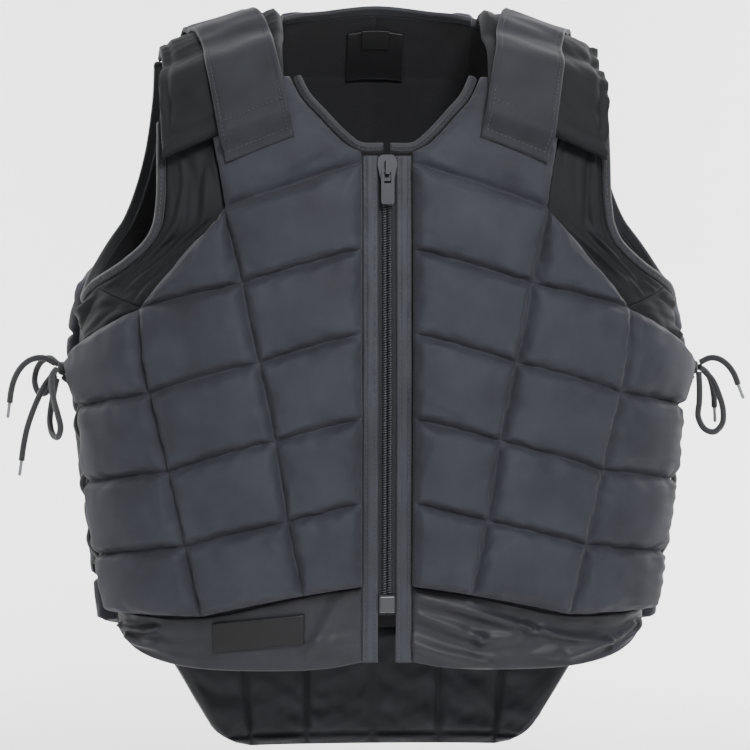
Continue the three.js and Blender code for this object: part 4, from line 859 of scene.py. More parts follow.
def stitch_rows(name, rows, mirror_too=False):
    """Stitches along rows, each given as (rail, height) on the body form: height may be a function
    of the rail's parameter."""
    points, along, up = [], [], []
    for line_of, height in rows:
        t = np.linspace(0, 1, 241)
        at = line_of(t)
        raised = height(t) if callable(height) else np.full(len(t), float(height))
        run = skin(at[:, 0], at[:, 1], raised)
        normal = outward(at[:, 0], at[:, 1])
        even, length = evenly(run, STITCH_PITCH)
        reach = np.concatenate([[0], np.cumsum(np.linalg.norm(np.diff(run, axis=0), axis=1))])
        stops = np.linspace(0, reach[-1], len(even))
        ups = np.stack([np.interp(stops, reach, normal[:, k]) for k in range(3)], 1)
        ways = np.gradient(even, axis=0)
        points.append(even)
        along.append(ways / np.linalg.norm(ways, axis=1)[:, None])
        up.append(ups)
    points, along, up = np.vstack(points), np.vstack(along), np.vstack(up)
    for side, mirror in (("left", (1, 1, 1)), ("right", (-1, 1, 1)))[:2 if mirror_too else 1]:
        piece = set_on_points(name + "_" + side if mirror_too else name, points * mirror, along * mirror,
                              up * mirror, stitch_nodes, stitch_size, (STITCH_LENGTH, THREAD, THREAD))
        dress(piece)


# Armhole facings and side gussets: unpadded nylon between the panel and the armhole, cut full and
# gathered, so that it falls in long soft folds along the armhole. Sewn in at both edges
CLOTH = 2.4
FACING_LIFT = 1.0
FACING_SPLIT = 0.55
FACING_TOP_STEP = 3
CORNER_SHARE = 0.995
FACING_FOLDS = {"across_mm": 13, "along_mm": 75, "depth": 4.6}
GUSSET_FOLDS = {"across_mm": 12, "along_mm": 45, "depth": 4.6}
strap_nylon = woven_cloth("charcoal nylon canvas, dull", "#17181D", "#212329", 1.2, 0.08, 0.74, 0.05)
# The placket bands take a lighter copy of the panel nylon: the extra lightness is painted light
placket_nylon_painted_light = woven_cloth("charcoal nylon taffeta, doubled, lightened as painted light", "#222329", "#2D2F36", 1.0, 0.06, 0.62)
dark_nylon = woven_cloth("dark charcoal nylon taffeta", "#111217", "#181A20", 1.0, 0.05, 0.62, 0.06)
# The facings, gussets and shoulder flaps take a darker copy of the charcoal nylon: their near black is
# painted shade
painted_shade_nylon = woven_cloth("charcoal nylon darkened as painted shade", "#0B0C0F", "#121317", 1.0, 0.05, 0.78, 0.0)
facing_inner = smooth([place_on_arch(BLOCK_TOP_SHARE * SHOULDER_HALF_WIDTH, PANEL_TOP_TURN - FACING_TOP_STEP),
                       shoulder_middle, seam_node(0, "inner")])
facing_diagonal = rail(seam_node(0, "inner"), seam_node(1, "outer"))


def facing_rail(t):
    t = np.asarray(t, float)
    upper = beside(facing_inner, LAYER_GAP)(np.clip(t / FACING_SPLIT, 0, 1))
    lower = beside(facing_diagonal, LAYER_GAP)(
        CORNER_SHARE * np.clip((t - FACING_SPLIT) / (1 - FACING_SPLIT), 0, 1))
    return np.where((t < FACING_SPLIT)[..., None], upper, lower)


def fold_relief(seed, across_mm, along_mm, depth):
    """Round folds with creases between them, across_mm apart, that run on for along_mm. Zero at
    the sewn edges."""
    def relief(u, v, sizes):
        where = np.stack([u * sizes["wide"] / across_mm, v * sizes["tall"] / along_mm, 0 * u], -1)
        wave = soft_noise(where, 2.0, seed)
        crest = 0.75 * np.sqrt(wave ** 2 + 0.01) + 0.35 * wave
        ends = np.clip(np.minimum(v, 1 - v) * sizes["tall"] / 9, 0, 1) ** 0.7
        return depth * (crest - 0.4) * np.sin(math.pi * np.clip(u, 0.01, 0.99)) ** 0.5 * ends
    return relief


def draped(lift, thickness, relief, edge=2.5):
    """A cloth's outer height: folds over its thickness, rolled down at its edges."""
    def height(u, v, sizes):
        near = np.minimum(u, 1 - u) * sizes["wide"] / edge
        return lift + thickness * (0.55 + 0.45 * np.sin(math.pi / 2 * np.clip(near, 0, 1))) + np.maximum(
            relief(u, v, sizes), -0.6 * thickness)
    return height


def soft_piece(name, sheet, node, cloth, declare=None, mirrored=False):
    """A thin cloth piece from its sheet of patches."""
    at, low, high, pins, rings = sheet.joined()
    outer = skin(at[:, 0], at[:, 1], high)
    made = close_wall(name, at, skin(at[:, 0], at[:, 1], low), outer, rings, cloth, mirrored)
    dress(made, node)
    if declare:
        declare(made, rings, outer)
    return made


def soft_pair(name, sheets, node, cloth, declare):
    """The left and right piece of a pair, each from its own sheet."""
    for side, mirrored in (("left", False), ("right", True)):
        soft_piece(f"{name}_{side}", sheets[side], f"{node}_{side}", cloth, declare, mirrored)


def as_sheet():
    """A declare step that leaves the piece as it is. Declares a piece as cloth of a
    width, with the length that its area gives.
    """
    def declare(made, rings, points):
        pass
    return declare


facings, gussets = {}, {}
gusset_lower = rail(seam_node(1, "outer"), side_top)
for side, seed in (("left", 5), ("right", 8)):
    facings[side] = Sheet().patch(
        facing_rail, stretch(in_armhole, 0, FACING_END + 0.0015), stops(26), stops(90), flat(FACING_LIFT),
        draped(FACING_LIFT, CLOTH, fold_relief(seed, **FACING_FOLDS)))
    gussets[side] = Sheet().patch(
        stretch(beside(gusset_lower, LAYER_GAP), 1 - CORNER_SHARE, 1),
        stretch(in_armhole, FACING_END + 0.0035, SIDE_START), stops(26), stops(50), flat(FACING_LIFT),
        draped(FACING_LIFT, CLOTH, fold_relief(seed + 30, **GUSSET_FOLDS)))
soft_pair("armhole_facing_cloth", facings, "armhole_facing", [painted_shade_nylon, lining_mesh],
          as_sheet())
soft_pair("side_gusset_cloth", gussets, "side_gusset", [painted_shade_nylon, lining_mesh],
          as_sheet())


# Hem skirt: a single layer of the same nylon below the last quilted row, turned up and stitched at
# the hem. It hangs free and creases lengthwise where the wearer sat
HEM_DROP = 446.0
HEM_LINE = [(0, 1.0), (0.2, 1.01), (0.45, 1.015), (0.7, 1.01), (0.86, 0.985)]
HEM_END = (0.97, 0.955)
HEM_TURN_UP = 9.0
HEM_CREASES = {"across_mm": 16, "along_mm": 80, "depth": 3.2}
HEM_FOLD_WIDTH = 3.1
LABEL_MIDDLE = 0.42
LABEL_REACH = 0.27
hem_line = smooth([place(max(x * CHEST_HALF_WIDTH, front_edge), -drop * HEM_DROP) for x, drop in HEM_LINE]
                  + [(math.radians(FRONT_SIDE_ANGLE) * HEM_END[0], -HEM_END[1] * HEM_DROP)])
hem_top = smooth([seam_node(ROWS - 1, which) for which in ("zip", "inner", "outer", "side")])
# Folds that show one by one. Each runs between two points, which give the share of the way from the
# zip to the side and of the way down, and has a height
HEM_FOLDS = {
    "left": [((0.02, 0.12), (0.34, 0.3), 5.0), ((0.34, 0.3), (0.7, 0.6), 4.4),
             ((0.02, 0.34), (0.18, 0.56), 4.0), ((0.18, 0.56), (0.36, 0.42), 3.6),
             ((0.0, 0.74), (0.2, 0.93), 4.2), ((0.5, 0.8), (0.9, 0.5), 3.4)],
    "right": [((0.72, 0.3), (0.96, 0.6), 4.4), ((0.05, 0.1), (0.13, 0.75), 2.6),
              ((0.7, 0.72), (0.9, 0.8), 3.2)],
}
# The hem skirt takes a darker, glossier copy of the panel nylon: the darker colour is painted shade
hem_nylon_painted_shade = woven_cloth("charcoal nylon taffeta, single, darkened as painted shade", "#17171C", "#232329", 1.0, 0.05, 0.5, 0.06)


def hem_relief(seed, folds, under_patch):
    """Long creases, pressed flat by a share of their height where the label is sewn on."""
    creases = fold_relief(seed, **HEM_CREASES)

    def relief(u, v, sizes):
        pressed = 1 - under_patch * np.exp(-((v - LABEL_MIDDLE) / LABEL_REACH) ** 8)
        puckers = 0.5 * np.sin(v * sizes["tall"] / 4.1) * np.exp(-u * sizes["wide"] / 6)
        turned = 0.5 / (1 + np.exp(-(u * sizes["wide"] - sizes["wide"] + HEM_TURN_UP) / 0.4))
        at = np.stack([v * sizes["tall"], u * sizes["wide"]], -1)
        raised = 0.0
        for start, end, rise in folds:
            a, b = [np.array(p) * (sizes["tall"], sizes["wide"]) for p in (start, end)]
            share = np.clip((at - a) @ (b - a) / ((b - a) @ (b - a)), 0, 1)
            away = np.linalg.norm(at - a - share[..., None] * (b - a), axis=-1)
            hollow = 0.3 * np.exp(-((away - 7) / 3) ** 2)
            raised = raised + rise * (np.exp(-(away / HEM_FOLD_WIDTH) ** 2) - hollow)
        return (creases(u, v, sizes) + raised * np.sin(math.pi * u) ** 0.5) * pressed + puckers + turned
    return relief


skirts = {}
for side, seed, under_patch in (("left", 71, 0), ("right", 52, 0.88)):
    skirts[side] = Sheet().patch(
        beside(hem_top, -LAYER_GAP * 2), hem_line, stops(34), stops(110), flat(LAYER_GAP),
        draped(LAYER_GAP, CLOTH, hem_relief(seed, HEM_FOLDS[side], under_patch), 1.5))
soft_pair("hem_skirt_cloth", skirts, "hem_skirt", [hem_nylon_painted_shade, lining_mesh],
          as_sheet())


# Front zip: nylon coil no. 7 on woven tape, behind two flat placket bands, each with a double row of
# stitches. A moulded box closes the coil's foot
TAPE_HALF_WIDTH = 15.0
PLACKET_INNER = 6.6
BAND_THICKNESS = 2.5
TAPE_THICKNESS = 1.0
ZIP_TOP_DROP = 84.0
ZIP_BOTTOM_DROP = 397.0
ZIP_TAIL = 15.0
ZIP_BOX_LENGTH = 13.0
ZIP_BOX_RISE = 1.2
COIL_PITCH = 1.75
COIL_HALF_WIDTH = 3.6
COIL_THREAD = 1.15
tape_top = GAP + TAPE_THICKNESS
band_inner = tape_top + GAP
band_outer = band_inner + BAND_THICKNESS


def zip_line(x, top, bottom):
    def at(t):
        heights = -(top + (bottom - top) * np.asarray(t, float))
        return np.array([place(x, h) for h in heights.ravel()]).reshape(heights.shape + (2,))
    return at


def reflected(line):
    return lambda t: line(t) * (-1, 1)


zip_tape = woven_cloth("black woven polyester zip tape", "#141518", "#1D1E22", 1.2, 0.15, 0.8)
tape_edge = [zip_line(x, ZIP_TOP_DROP, ZIP_BOTTOM_DROP + ZIP_TAIL) for x in (GAP, TAPE_HALF_WIDTH)]
tapes = Sheet().patch(*tape_edge, stops(6), stops(60), flat(GAP), flat(tape_top))
soft_pair("zip_tape_woven", {"left": tapes, "right": tapes}, "zip_tape", [zip_tape],
          as_sheet())

band_edge = [zip_line(x, ZIP_TOP_DROP, HEM_DROP) for x in (PLACKET_INNER, PLACKET_EDGE)]
BAND_STITCHES = (0.22, 0.78)


def band_relief(seed):
    def relief(u, v, sizes):
        pucker = 0.22 * np.sin(v * sizes["tall"] * 2 * math.pi / STITCH_PITCH / 2)
        rows = sum(np.exp(-((u - s) * sizes["wide"] / 1.1) ** 2) for s in BAND_STITCHES)
        where = np.stack([u, v * sizes["tall"] / 38, 0 * u], -1)
        return -0.55 * rows + pucker * rows + 0.45 * soft_noise(where, 2.0, seed)
    return relief


bands = {side: Sheet().patch(*band_edge, stops(16), stops(240), flat(band_inner),
                             draped(band_inner, BAND_THICKNESS, band_relief(seed), 2.0))
         for side, seed in (("left", 3), ("right", 4))}
soft_pair("placket_band_cloth", bands, "placket_band", [placket_nylon_painted_light],
          as_sheet())
stitch_rows("placket_stitches", [
    (zip_line(PLACKET_INNER + s * (PLACKET_EDGE - PLACKET_INNER), ZIP_TOP_DROP + 2, HEM_DROP - 2),
     band_outer - 0.45) for s in BAND_STITCHES], True)

coil_nylon, _, coil_shader = new_material("dark grey nylon zip coil")
coil_shader.inputs["Base Color"].default_value = to_linear("#2C2E32")
coil_shader.inputs["Roughness"].default_value = 0.38
coil_nodes, coil_size = instancing_group("zip coil", coil_nylon, True)
coil_drops = np.arange(ZIP_TOP_DROP + 1.5, ZIP_BOTTOM_DROP - 1, COIL_PITCH)
coil_places = np.array([place(0, -drop) for drop in coil_drops])
coil_middle = skin(coil_places[:, 0], coil_places[:, 1], band_inner + 1.3)
coil_up = outward(coil_places[:, 0], coil_places[:, 1])
coil_points = np.vstack([coil_middle + (0.52 * COIL_HALF_WIDTH, 0, 0),
                         coil_middle - (0.52 * COIL_HALF_WIDTH, 0, COIL_PITCH / 2)])
coil_ways = np.tile((1.0, 0.0, 0.18), (len(coil_points), 1))
coil = set_on_points("zip_coil", coil_points, coil_ways, np.vstack([coil_up, coil_up]), coil_nodes,
                     coil_size, (COIL_HALF_WIDTH + 0.3, COIL_THREAD * 1.15, 2.3))
dress(coil, "zip_teeth")

box_edge = zip_line(PLACKET_INNER - GAP, ZIP_BOTTOM_DROP, ZIP_BOTTOM_DROP + ZIP_BOX_LENGTH)


def box_height(u, v, sizes):
    near = np.minimum(np.minimum(u, 1 - u) * sizes["wide"], np.minimum(v, 1 - v) * sizes["tall"])
    return band_outer - 0.8 + (ZIP_BOX_RISE + 0.8) * np.sin(math.pi / 2 * np.clip(near / 1.6, 0, 1))


box_sheet = Sheet().patch(reflected(box_edge), box_edge, stops(14), stops(14), flat(band_inner), box_height)
soft_piece("zip_box_moulded", box_sheet, "zip_bottom_box", [coil_nylon])


# Zip slider and its pull: die-cast zinc with a dull gunmetal lacquer, rubbed unevenly. Both keep the
# shape of their solids, and only the pull moves
gunmetal, gun_tree, gun_shader = new_material("gunmetal lacquered zinc")
gun_place = add_node(gun_tree, "ShaderNodeTexCoord")
gun_wear = add_node(gun_tree, "ShaderNodeTexNoise", Vector=gun_place.outputs["Object"], Scale=900.0,
                    Detail=4.0)
gun_rough = add_node(gun_tree, "ShaderNodeMapRange", Value=gun_wear.outputs["Fac"], To_Min=0.28, To_Max=0.5)
gun_tree.links.new(gun_rough.outputs[0], gun_shader.inputs["Roughness"])
gun_shader.inputs["Base Color"].default_value = to_linear("#1F2023")
gun_shader.inputs["Metallic"].default_value = 0.75
for node in ("zip_slider", "zip_pull"):
    metal_piece = bpy.data.objects[node]
    metal_piece.data.materials.clear()
    metal_piece.data.materials.append(gunmetal)


# Neck and armhole bindings: a strip of nylon folded over the raw edge, plump and stitched through
# once near its inner edge
binding_nylon = woven_cloth("charcoal nylon binding", "#1C1D21", "#26282D", 0.9, 0.08, 0.7)


def binding_height(u, v, sizes):
    pucker = 0.25 * np.sin(v * sizes["tall"] * 2 * math.pi / (2 * STITCH_PITCH))
    groove = np.exp(-((u - 0.3) * sizes["wide"] / 0.8) ** 2)
    return BINDING_HEIGHT * (0.55 + 0.45 * np.sin(math.pi * u) ** 0.7) - 0.7 * groove + pucker * groove


def binding_sheet(line, start, end, count):
    return Sheet().patch(stretch(beside(line, -BINDING_WIDTH / 2), start, end),
                         stretch(beside(line, BINDING_WIDTH / 2), start, end),
                         stops(12), stops(count), flat(0), binding_height)


neck_band = binding_sheet(neck_front, 0.015, 0.97, 110)
soft_pair("neck_binding_cloth", {"left": neck_band, "right": neck_band}, "neck_binding",
          [binding_nylon], as_sheet())
arm_band = binding_sheet(armhole, 0.01, ARM_BINDING_END, 300)
soft_pair("armhole_binding_cloth", {"left": arm_band, "right": arm_band}, "armhole_binding",
          [binding_nylon], as_sheet())
NECK_BACK = [(0.82, 77), (0.5, 72)]
NECK_BACK_MIDDLE_TURN = 70
neck_back_side = [place_on_arch(NECK_HALF_WIDTH - binding_room, BACK_TOP_TURN, "back")]
neck_back_side += [place_on_arch(x * NECK_HALF_WIDTH, turn, "back") for x, turn in NECK_BACK]
neck_back_middle = (math.pi, ARCH_BASE + ARCH * NECK_BACK_MIDDLE_TURN / 90)
neck_back = smooth(neck_back_side + [neck_back_middle]
                   + [p * (-1, 1) + (2 * math.pi, 0) for p in neck_back_side[::-1]])
soft_piece("neck_binding_back_cloth", binding_sheet(neck_back, 0.01, 0.99, 110), "neck_binding_back",
           [binding_nylon], as_sheet())
STITCH_LINE = -0.2 * BINDING_WIDTH
binding_top = BINDING_HEIGHT * 0.88
stitch_rows("neck_binding_stitches", [(stretch(beside(neck_front, STITCH_LINE), 0.02, 0.965), binding_top)],
            True)
stitch_rows("armhole_binding_stitches", [
    (stretch(beside(armhole, STITCH_LINE), 0.015, ARM_BINDING_END - 0.005), binding_top)], True)
stitch_rows("neck_back_stitches", [(stretch(beside(neck_back, STITCH_LINE), 0.02, 0.98), binding_top)])


# Back panel: the same quilted foam as the front, in up to four columns each side of the middle, over
# a black mesh lining. The side lacing holds its side edges to the front
BACK_PAD = 15.0
BACK_COLUMN = 52.0
BACK_ROWS = [
    (0.045, (1.4, 2.2)), (0.178, (1.15, 2.08)), (0.311, (1.0, 2.0)), (0.444, (1.0, 2.0, 3.05)),
    (0.578, (1.0, 2.0, 3.05)), (0.711, (1.0, 2.0, 3.0)), (0.844, (1.0, 2.0, 2.95)), (0.978, (1.0, 2.0, 2.9))]
SHOULDER_SEAM_SHARE = 0.73
SIDE_NODE_DROP = 0.03
SIDE_CORNER_RISE = 0.035
BACK_SPLIT_RISE = 6.0
ARM_NODE_DROP = 0.01
back_edge_turn = math.radians(BACK_SIDE_ANGLE)
last_seam = len(BACK_ROWS) - 1


def back_height(row):
    return -BACK_ROWS[row][0] * BODY_DROP


def back_node(row, column):
    if column == 0:
        return np.array([math.pi, place(0, back_height(row), "back")[1]])
    return place(BACK_ROWS[row][1][column - 1] * BACK_COLUMN, back_height(row), "back")


def side_node(row):
    rise = -SIDE_NODE_DROP if row < last_seam else SIDE_CORNER_RISE
    return np.array([back_edge_turn, back_height(row) + rise * BODY_DROP])


def turn_at_height(line, height, start, end):
    t = np.linspace(start, end, 401)
    return t[np.argmin(np.abs(line(t)[:, 1] - height))]


def upright(row, column):
    return rail(back_node(row, column), back_node(row + 1, column))


def back_panel_sheet():
    sheet = Sheet()
    edge = beside(armhole, -binding_room - CURVE_GAP)
    even = block_stops(18)

    def arm_turn(row):
        return turn_at_height(armhole, back_node(row, 2)[1] - ARM_NODE_DROP * BODY_DROP, SIDE_END, 1)

    def block(rail_a, rail_b, pad=BACK_PAD):
        sheet.mirrored_patch(rail_a, rail_b, even, even, lining_puff, foam_block(pad))

    def neck_side_rail(t):
        p = beside(neck_back, -binding_room - LAYER_GAP)(np.asarray(t, float) / 2)
        p[..., 0] = np.where(np.abs(p[..., 0] - math.pi) < 0.01, math.pi, p[..., 0])
        return p

    split_turn = turn_at_height(armhole, back_height(2) + BACK_SPLIT_RISE, SIDE_END, 1)
    upper_pad = SHOULDER_PAD + CROWN
    shoulder_seam = rail(place_on_arch(SHOULDER_SEAM_SHARE * SHOULDER_HALF_WIDTH, BACK_TOP_TURN, "back"),
                         back_node(0, 2))
    block(neck_side_rail, rail(back_node(0, 1), back_node(0, 0)), upper_pad)
    block(rail(neck_side_rail(np.array(0.0)), back_node(0, 1)), shoulder_seam, upper_pad)
    block(shoulder_seam, stretch(edge, ARM_BINDING_END, arm_turn(0)), upper_pad)
    for row in range(last_seam):
        block(upright(row, 0), upright(row, 1))
        block(upright(row, 1), upright(row, 2))
    block(upright(0, 2), stretch(edge, arm_turn(0), arm_turn(1)))
    block(upright(1, 2), stretch(edge, arm_turn(1), split_turn))
    block(upright(2, 2), rail(edge(split_turn), back_node(3, 3)))
    block(stretch(edge, split_turn, SIDE_END + 0.008), rail(back_node(3, 3), side_node(3)))
    for row in range(3, last_seam):
        block(upright(row, 2), upright(row, 3))
        block(upright(row, 3), rail(side_node(row), side_node(row + 1)))
    return sheet.joined()


quilted_piece("back_panel_quilted", back_panel_sheet(), "back_panel",
              [nylon_taffeta, lining_mesh], (BOARD_DENT_SIZE, BOARD_DENT_DEPTH, 37), BOARD_SWELL)


# Tail guard: a softer padded flap below the back, in six upright channels of dark nylon
TAIL_PAD = 13.0
TAIL_BOTTOM_DROP = 530.0
TAIL_TOP_HALF_WIDTH = 168.0
TAIL_SEAM_SHARE = 1.85
TAIL_BORDER = 9.0
tail_top = -(BACK_ROWS[-1][0] * BODY_DROP + GAP)


def tail_seam(top_x, bottom_x):
    return rail(place(top_x, tail_top, "back"), place(bottom_x, -TAIL_BOTTOM_DROP, "back"))


# The outer edge, from its top to its rounded corner: x, and the way down as a share
TAIL_EDGE = [(TAIL_TOP_HALF_WIDTH, 0), (151, 0.33), (136, 0.63), (125, 0.83), (118, 0.91), (108, 0.97)]
tail_seams = [rail((math.pi, tail_top), (math.pi, -TAIL_BOTTOM_DROP)), tail_seam(BACK_COLUMN, BACK_COLUMN),
              tail_seam(2 * BACK_COLUMN, TAIL_SEAM_SHARE * BACK_COLUMN),
              smooth([place(x, tail_top - share * (TAIL_BOTTOM_DROP + tail_top), "back")
                      for x, share in TAIL_EDGE])]


def tail_puff(u, v, sizes):
    """The side that faces the wearer swells as well: it is soft wadding with no board behind it."""
    border = np.exp(-(((1 - v) * sizes["tall"] - TAIL_BORDER) / 1.6) ** 2)
    return 3.4 * lining_puff(u, v, sizes) * (1 - 0.85 * border)


tail = Sheet()
for near_seam, far_seam in zip(tail_seams, tail_seams[1:]):
    tail.mirrored_patch(near_seam, far_seam, block_stops(20), block_stops(36), tail_puff,
                        foam_block(TAIL_PAD, 8.0, 3.0, 0.6))
at, low, high, pins, rings = tail.joined()
low = low * (1 + 0.35 * soft_noise(skin(at[:, 0], at[:, 1], high), 26, 14))
quilted_piece("tail_guard_quilted", (at, low, high, pins, rings), "tail_guard",
              [dark_nylon, dark_nylon], (38, 1.6, 91), 3.0)


# Shoulder flaps: thin foam tongues from the back, folded forward over the shoulders. A seam runs
# inside their free edges, and the cloth outside it is a soft unpadded border
FLAP_PAD = 9.0
FLAP = {"back_inner": 0.985, "back_outer": 1.0, "inner_x": 0.95, "inner_turn": 30, "outer_x": 0.945,
        "outer_turn": 19.6, "ramp": 17}
FLAP_BORDER = 10.0
flap_back_turn = 180 - BACK_TOP_TURN - LAYER_GAP
on_panel = SHOULDER_PAD + CROWN + LAYER_GAP


def ease(value, start, end):
    t = np.clip((np.asarray(value, float) - start) / (end - start), 0, 1)
    return t * t * (3 - 2 * t)


def arch_turn(h):
    return (h - ARCH_BASE) / ARCH * 90


def flap_inner_height(h):
    climb = ease(arch_turn(h), PANEL_TOP_TURN + 1, PANEL_TOP_TURN + 1 + FLAP["ramp"])
    return on_panel + (LAYER_GAP - on_panel) * climb


flap_rails = [rail(place_on_arch(FLAP["back_inner"] * NECK_HALF_WIDTH, flap_back_turn),
                   place_on_arch(FLAP["inner_x"] * NECK_HALF_WIDTH, FLAP["inner_turn"])),
              rail(place_on_arch(FLAP["back_outer"] * SHOULDER_HALF_WIDTH, flap_back_turn),
                   place_on_arch(FLAP["outer_x"] * SHOULDER_HALF_WIDTH, FLAP["outer_turn"]))]


def height_between(rails, u, v):
    a, b = rails[0](v)[..., 1], rails[1](v)[..., 1]
    return a + (b - a) * u


def flap_low(u, v, sizes):
    return flap_inner_height(height_between(flap_rails, u, v))


def flap_high(ruffle, seed):
    def height(u, v, sizes):
        inside = np.minimum(u, 1 - u) * sizes["wide"]
        end = np.minimum(v * sizes["tall"] + 30, (1 - v) * sizes["tall"])
        near = np.minimum(inside, end)
        foam = np.sin(math.pi / 2 * np.clip((near - FLAP_BORDER) / 6, 0, 1))
        border = np.sin(math.pi / 2 * np.clip(near / 2.5, 0, 1))
        seam = np.exp(-((near - FLAP_BORDER) / 1.1) ** 2)
        waves = np.sin(v * sizes["tall"] / 2.6 + 2 * np.sin(v * 9))
        gathers = ruffle * waves * np.exp(-inside / 7) * (u > 0.5)
        where = np.stack([u * sizes["wide"] / 22, v * sizes["tall"] / 16, 0 * u], -1)
        creases = 0.8 * soft_noise(where, 2.0, seed) * border
        return flap_low(u, v, sizes) + SEAM * (0.55 + 0.45 * border) + (
            FLAP_PAD - SEAM) * (0.6 * border + 0.4 * foam) - 1.3 * seam + gathers + creases
    return height


flaps = {side: Sheet().patch(*flap_rails, stops(40), stops(70), flap_low, flap_high(ruffle, seed))
         for side, ruffle, seed in (("left", 1.6, 33), ("right", 0.2, 34))}
soft_pair("shoulder_flap_padded", flaps, "shoulder_flap", [painted_shade_nylon, lining_mesh],
          lambda made, rings, points: made)


# Shoulder straps: doubled nylon, stitched along both edges, sewn to the back and closed on the front
# panel by hook and loop underneath
STRAP_THICKNESS = 3.0
STRAP = {"back_inner": 1.33, "back_outer": 1.94, "back_turn": 118, "front_inner": 0.87, "front_outer": 1.5,
         "inner_turn": 21.7, "outer_turn": 16.4, "step_down": 5}
STRAP_CLIMB = (94, 102)
STRAP_ON_FLAP = (0.08, 0.53)
STRAP_STITCH = 4.0
strap_rails = [rail(place_on_arch(STRAP["back_inner"] * NECK_HALF_WIDTH, STRAP["back_turn"]),
                    place_on_arch(STRAP["front_inner"] * NECK_HALF_WIDTH, STRAP["inner_turn"])),
               rail(place_on_arch(STRAP["back_outer"] * NECK_HALF_WIDTH, STRAP["back_turn"]),
                    place_on_arch(STRAP["front_outer"] * NECK_HALF_WIDTH, STRAP["outer_turn"]))]


def strap_low(u, v, sizes=None):
    h = height_between(strap_rails, u, v)
    share = STRAP_ON_FLAP[0] + (STRAP_ON_FLAP[1] - STRAP_ON_FLAP[0]) * u
    tip = FLAP["inner_turn"] + (FLAP["outer_turn"] - FLAP["inner_turn"]) * share - LAYER_GAP
    over_flap = flap_inner_height(h) + FLAP_PAD + CURVE_GAP + GAP
    front = on_panel + (over_flap - on_panel) * ease(arch_turn(h), tip - STRAP["step_down"], tip)
    on_back = BACK_PAD + CROWN + LAYER_GAP
    return front + (on_back - front) * ease(arch_turn(h), *STRAP_CLIMB)


def strap_high(seed):
    def height(u, v, sizes):
        near = np.minimum(np.minimum(u, 1 - u) * sizes["wide"], np.minimum(v, 1 - v) * sizes["tall"])
        groove = 0.5 * np.exp(-((near - STRAP_STITCH) / 0.8) ** 2)
        edge = np.sin(math.pi / 2 * np.clip(near / 1.6, 0, 1))
        where = np.stack([u * sizes["wide"] / 60, v * sizes["tall"] / 26, 0 * u], -1)
        waves = 1.1 * soft_noise(where, 2.0, seed) * edge
        return strap_low(u, v) + STRAP_THICKNESS * (0.6 + 0.4 * edge) - groove + waves
    return height


strap_cloths = {side: Sheet().patch(*strap_rails, stops(36), stops(120), strap_low, strap_high(seed))
                for side, seed in (("left", 17), ("right", 19))}
soft_pair("shoulder_strap_cloth", strap_cloths, "shoulder_strap", [strap_nylon],
          as_sheet())


def strap_row(share, start, end):
    def at(t):
        v = start + (end - start) * np.asarray(t, float)
        return strap_rails[0](v) + (strap_rails[1](v) - strap_rails[0](v)) * share
    return at, lambda t: strap_low(np.full(len(t), share), start + (end - start) * t) + STRAP_THICKNESS - 0.25


def strap_end_row(v):
    def at(t):
        share = (0.08 + 0.84 * np.asarray(t, float))[..., None]
        return strap_rails[0](v) + (strap_rails[1](v) - strap_rails[0](v)) * share
    return at, lambda t: strap_low(0.08 + 0.84 * t, np.full(len(t), v)) + STRAP_THICKNESS - 0.25


stitch_rows("shoulder_strap_stitches", [strap_row(0.07, 0.03, 0.975), strap_row(0.93, 0.03, 0.975),
                                        strap_end_row(0.975), strap_end_row(0.9)], True)


# Side panels: a single layer of black cloth across the laced gap between the front and the back
SIDE_CLOTH = 2.0
SIDE_CREASES = {"across_mm": 9, "along_mm": 40, "depth": 0.5}
side_cloth_top = GAP + SIDE_CLOTH
front_side_nodes = np.array([in_armhole(np.array(SIDE_START)), side_top]
                            + [seam_node(row, "side") for row in (2, 3, 4, 5)])
side_middle = -(ARMHOLE_DROP + BODY_DROP / 4)
side_span = back_edge_turn - math.radians(FRONT_SIDE_ANGLE)
side_speed = np.linalg.norm(lining(back_edge_turn, side_middle)
                            - lining(math.radians(FRONT_SIDE_ANGLE), side_middle)) / side_span


def front_side_rail(top, bottom, distance):
    def at(t):
        h = -(top + (bottom - top) * np.asarray(t, float))
        turn = np.interp(-h, -front_side_nodes[:, 1], front_side_nodes[:, 0])
        return np.stack([turn + distance / side_speed, h], -1)
    return at


def back_side_rail(top, bottom, distance):
    def at(t):
        h = -(top + (bottom - top) * np.asarray(t, float))
        return np.stack([np.full(np.shape(h), back_edge_turn - distance / side_speed), h], -1)
    return at


side_ends = (ARMHOLE_DROP + binding_room + CURVE_GAP, ARMHOLE_DROP + BODY_DROP / 2)
side_rails = [front_side_rail(*side_ends, 2 * CURVE_GAP), back_side_rail(*side_ends, 2 * LAYER_GAP)]
side_sheets = {side: Sheet().patch(*side_rails, stops(16), stops(80), flat(GAP),
                                   draped(GAP, SIDE_CLOTH, fold_relief(seed, **SIDE_CREASES)))
               for side, seed in (("left", 81), ("right", 82))}
side_nylon = woven_cloth("black nylon side cloth", "#111214", "#191A1D", 1.0, 0.05, 0.75)
soft_pair("side_panel_cloth", side_sheets, "side_panel", [side_nylon],
          as_sheet())
# The lacing strips keep the shape of their solids, in the same woven tape as the zip
for node in [f"lace_strip_{edge}_{side}" for edge in ("front", "back") for side in ("left", "right")]:
    strip = bpy.data.objects[node]
    strip.data.materials.clear()
    strip.data.materials.append(zip_tape)


